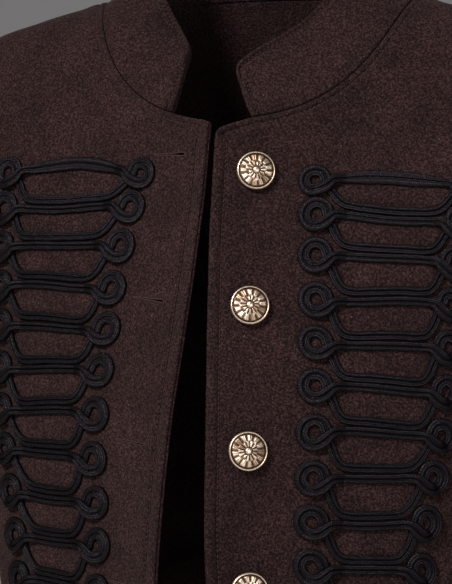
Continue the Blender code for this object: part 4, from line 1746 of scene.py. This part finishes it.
@dataclass
class Sewing:
    """Thread work: stitch lines inside the edges and worked buttonholes on the right front."""

    pitch: float = 0.0030
    length: float = 0.0022
    radius: float = 0.00036
    sides: int = 6
    hole_heights: tuple[float, ...] = (-0.0990, -0.1850, -0.2680, -0.3505, -0.4330)
    hole_wedges: tuple[float, ...] = (0.00092, 0.00070, 0.00030, 0.00050, 0.00060)
    hole_near: float = 0.0215
    hole_far: float = 0.0455
    hole_samples: int = 96
    hole_sides: int = 8
    slit_samples: int = 40
    hole_tilt: float = 0.09
    eyelet: Size = (0.0008, 0.0060)
    lip_gap: float = 0.00045
    lip_wedge: float = 0.92
    slit_gap: float = 0.00030
    slit_end: float = 0.0003
    lip_size: Size = (0.00042, 0.00038)
    lip_rise: float = 0.00010
    slit_rise: float = 0.00022
    slit_depth: float = 0.00016

    def line(self, name: str, path: Pair, finish: Material) -> Piece:
        """Row of stitches along a path: each a short arched thread whose ends go down into the cloth.

        Args:
            name: Piece name.
            path: Points on the cloth, and outward directions along them.
            finish: Thread material.

        Returns:
            The piece.
        """
        run = run_along(path[0])
        place = np.arange(0.5 * self.pitch, run[-1], self.pitch)

        def read(values: Array, step: float = 0.0) -> Array:
            """Values along the path, a step on from each stitch's middle."""
            return read_lines(place + step, run, values.T).T

        middle, out = read(path[0]), unit(read(path[1]))
        along = read(path[0], 0.0004) - read(path[0], -0.0004)
        along = unit(along - np.sum(along * out, axis=-1, keepdims=True) * out)
        share = np.array((-1.0, -0.55, 0.55, 1.0))[:, None]
        thick = self.radius * np.array((0.6, 1.0, 1.0, 0.6))[:, None]
        turn = circle(self.sides)
        rise = thick * np.sin(turn) + 0.0001 - 0.00042 * share ** 4
        local = np.stack((0.5 * self.length * share + 0.0 * turn, thick * np.cos(turn), rise), axis=-1)
        axes = np.stack((along, np.cross(out, along), out), axis=1)
        vertices = middle[:, None] + np.einsum("kc,scx->skx", local.reshape(-1, 3), axes)
        rings = len(share)
        count = rings * self.sides
        cap = np.stack((np.arange(self.sides)[::-1], np.arange(count - self.sides, count)))
        starts = count * np.arange(len(place))[:, None, None]
        quads = (grid_quads(rings, self.sides, wrap_columns=True) + starts).reshape(-1, 4)
        caps = (cap + starts).reshape(-1, self.sides)
        return add_piece(name, vertices, [*quads.tolist(), *caps.tolist()], finish)

    def buttonhole(self, front: Front, index: int, wardrobe: Wardrobe) -> list[Piece]:
        """Worked buttonhole: a thin closed lip of thread round a slit that widens to an eyelet at the edge
        end, and a near-black piece in the slit, painted shade for the shadow in the cut.

        Args:
            front: Front that carries it.
            index: Place in the row, from nought.
            wardrobe: Shared finishes.

        Returns:
            The lip and the slit.
        """
        length = self.hole_far - self.hole_near
        tilt = 0.0 if index == 0 else self.hole_tilt
        wedge = self.hole_wedges[index]
        ring = circle(self.hole_sides)
        name = "buttonhole_%d" % (index + 1)

        def on_cloth(along: Array, half: Array | float) -> Pair:
            """Points and normals by distance along the hole and off its middle line."""
            height = self.hole_heights[index] + half + tilt * (along - 0.5 * length)
            return front.place(self.hole_near + along, height)

        turn = circle(self.hole_samples)
        run = 0.5 * length * (1.0 - np.cos(turn))
        gap = self.lip_gap + self.lip_wedge * wedge * bump_at(run, *self.eyelet)
        lip, out = on_cloth(run, np.sign(np.sin(turn)) * np.abs(np.sin(turn)) ** 0.35 * gap)
        side = unit(np.cross(out, np.roll(lip, -1, axis=0) - np.roll(lip, 1, axis=0)))
        wide, tall = self.lip_size
        profile = np.stack((-wide * np.cos(ring), self.lip_rise + tall * np.sin(ring)), axis=-1)
        rings = swept(lip, side, out, np.broadcast_to(profile, (self.hole_samples, *profile.shape)))
        quads = grid_quads(self.hole_samples, len(ring), wrap_rows=True, wrap_columns=True)[:, ::-1]
        pieces = [add_piece(name + "_lip", rings, quads, wardrobe.thread)]
        # The slit piece is a near-black painted shade laid in the cut, in place of its shadow
        run = np.linspace(self.slit_end, length - self.slit_end, self.slit_samples)
        middle, out = on_cloth(run, 0.0)
        side = unit(np.cross(out, np.gradient(middle, axis=0)))
        wide = (self.slit_gap + wedge * bump_at(run, *self.eyelet))[:, None]
        wide = wide * np.sqrt(np.clip(1.0 - (2.0 * run / length - 1.0) ** 8, 0.02, 1.0))[:, None]
        rise = self.slit_rise + self.slit_depth * np.sin(ring) + 0.0 * wide
        rings = swept(middle, side, out, np.stack((-np.cos(ring) * wide, rise), axis=-1))
        count = rings.shape[0] * rings.shape[1]
        caps = [list(range(len(ring))), list(range(count - len(ring), count))[::-1]]
        quads = grid_quads(self.slit_samples, len(ring), wrap_columns=True)[:, ::-1]
        pieces.append(add_piece(name + "_slit", rings, [*quads.tolist(), *caps], wardrobe.slit))
        return pieces


@dataclass(frozen=True)
class Lamp:
    """Soft square light that faces the chest: angles round from the front toward the wearer's left and above
    the horizon, distance, side, watts and colour."""

    name: str
    azimuth: float
    elevation: float
    distance: float
    size: float
    power: float
    colour: Triple

    def build(self, target: Vector) -> None:
        """Hangs the light so that it faces a target.

        Args:
            target: Point that it faces.
        """
        data = bpy.data.lights.new(self.name, "AREA")
        data.size = self.size
        data.energy = self.power
        data.color = self.colour
        lamp = bpy.data.objects.new(self.name, data)
        turn, rise = radians(self.azimuth), radians(self.elevation)
        away = Vector((np.sin(turn) * np.cos(rise), -np.cos(turn) * np.cos(rise), np.sin(rise)))
        lamp.location = target + away * self.distance
        lamp.rotation_mode = "QUATERNION"
        lamp.rotation_quaternion = away.to_track_quat("Z", "Y")
        bpy.context.scene.collection.objects.link(lamp)


@dataclass
class Studio:
    """Camera at the photograph's angle, soft studio light and a pale floor."""

    azimuth: float = radians(18.5)
    roll: float = radians(1.0)
    target: Triple = (0.020, -0.12, -0.18)
    distance: float = 1.5
    lens: float = 162.2
    sensor: float = 36.0
    nearest: float = 0.05
    floor_height: float = -0.72
    floor_reach: float = 6.0
    floor_lines: int = 25
    surround: Triple = (1.0, 0.97, 0.98)
    surround_strength: float = 0.17
    lamps: tuple[Lamp, ...] = (
        Lamp("key_light", -16.0, 34.0, 2.2, 0.50, 66.0, (1.0, 0.975, 0.95)),
        Lamp("fill_light", 44.0, -4.0, 2.6, 2.0, 30.0, (0.97, 0.98, 1.0)),
        Lamp("back_light_left", 130.0, 2.0, 2.6, 1.4, 52.0, (1.0, 0.98, 0.96)),
        Lamp("back_light_right", -138.0, 2.0, 2.6, 1.4, 52.0, (1.0, 0.98, 0.96)),
    )

    def camera(self) -> None:
        """Sets a level camera that looks back at the target, rolled a little."""
        back = Vector((np.sin(self.azimuth), -np.cos(self.azimuth), 0.0))
        flat = Vector((np.cos(self.azimuth), np.sin(self.azimuth), 0.0))
        upright = Vector((0.0, 0.0, 1.0))
        right = flat * np.cos(self.roll) + upright * np.sin(self.roll)
        up = upright * np.cos(self.roll) - flat * np.sin(self.roll)
        data = bpy.data.cameras.new("photo_camera")
        data.lens = self.lens
        data.sensor_width = self.sensor
        data.clip_start = self.nearest
        camera = bpy.data.objects.new("photo_camera", data)
        spot = Vector(self.target) + back * self.distance
        camera.matrix_world = Matrix.Translation(spot) @ Matrix((right, up, back)).transposed().to_4x4()
        bpy.context.scene.collection.objects.link(camera)
        bpy.context.scene.camera = camera

    def floor(self) -> None:
        """Lays a broad pale floor below the jacket."""
        reach = np.linspace(-self.floor_reach, self.floor_reach, self.floor_lines)
        x, y = np.meshgrid(reach, reach)
        mesh = bpy.data.meshes.new("studio_floor")
        points = np.stack((x, y, np.full_like(x, self.floor_height)), axis=-1).reshape(-1, 3)
        mesh.from_pydata(points, [], grid_quads(self.floor_lines, self.floor_lines))
        mesh.materials.append(FloorFinish().material())
        floor = bpy.data.objects.new("studio_floor", mesh)
        bpy.context.scene.collection.objects.link(floor)

    def build(self) -> None:
        """Sets up the camera, the lights, the pale surround and the floor."""
        scene = bpy.context.scene
        self.camera()
        for lamp in self.lamps:
            lamp.build(Vector(self.target))
        world = bpy.data.worlds.new("studio_surround")
        world.use_nodes = True
        shade = world.node_tree.nodes["Background"].inputs
        shade["Color"].default_value = (*self.surround, 1.0)
        shade["Strength"].default_value = self.surround_strength
        scene.world = world
        scene.view_settings.view_transform = "Standard"
        self.floor()


def declare(piece: Piece) -> None:
    """Reads the face areas of a cloth piece, its cut area; nothing is declared or kept.

    Args:
        piece: Cloth piece.
    """
    areas = np.empty(len(piece.data.polygons))
    piece.data.polygons.foreach_get("area", areas)


def main() -> None:
    """Builds the jacket's pieces in order, reads the face areas of its cloth pieces, and sets the studio."""
    logging.basicConfig(level=logging.INFO, format="%(name)s: %(message)s")
    wardrobe = Wardrobe()
    torso = TorsoForm()
    sewing = Sewing()
    fronts = {side: Front(torso, side) for side in Side}
    cloth = {side: fronts[side].build(wardrobe) for side in Side}
    back = Back(torso)
    back_piece = back.build(wardrobe)
    sleeves = {side: Sleeve(torso, side) for side in Side}
    sleeve_pieces = {side: sleeves[side].build(wardrobe) for side in Side}
    collar = Collar(torso)
    collar_piece = collar.build(wardrobe)
    trims = {side: FrogSet(fronts[side]).build(wardrobe) for side in Side}
    trims[Side.LEFT] += ButtonSet(fronts[Side.LEFT]).build(wardrobe)
    for index in range(len(sewing.hole_heights)):
        trims[Side.RIGHT] += sewing.buttonhole(fronts[Side.RIGHT], index, wardrobe)

    def stitch(paths: dict[str, Pair], end: str) -> list[Piece]:
        """Stitch lines along paths, named by edge and by where they are."""
        return [sewing.line("%s_stitching%s" % (label, end), path, wardrobe.thread)
                for label, path in paths.items()]

    for side in Side:
        trims[side] += stitch(fronts[side].stitching(), "_" + side.label)
        stitch({"cuff": sleeves[side].stitching()}, "_" + side.label)
    back_sewing = stitch(back.stitching(), "_back")
    collar_sewing = stitch({"collar": collar.stitching()}, "")
    for side in Side:
        declare(cloth[side])
        declare(sleeve_pieces[side]["top"])
        declare(sleeve_pieces[side]["under"])
    declare(back_piece)
    declare(collar_piece)
    Studio().build()


if __name__ == "__main__":
    main()
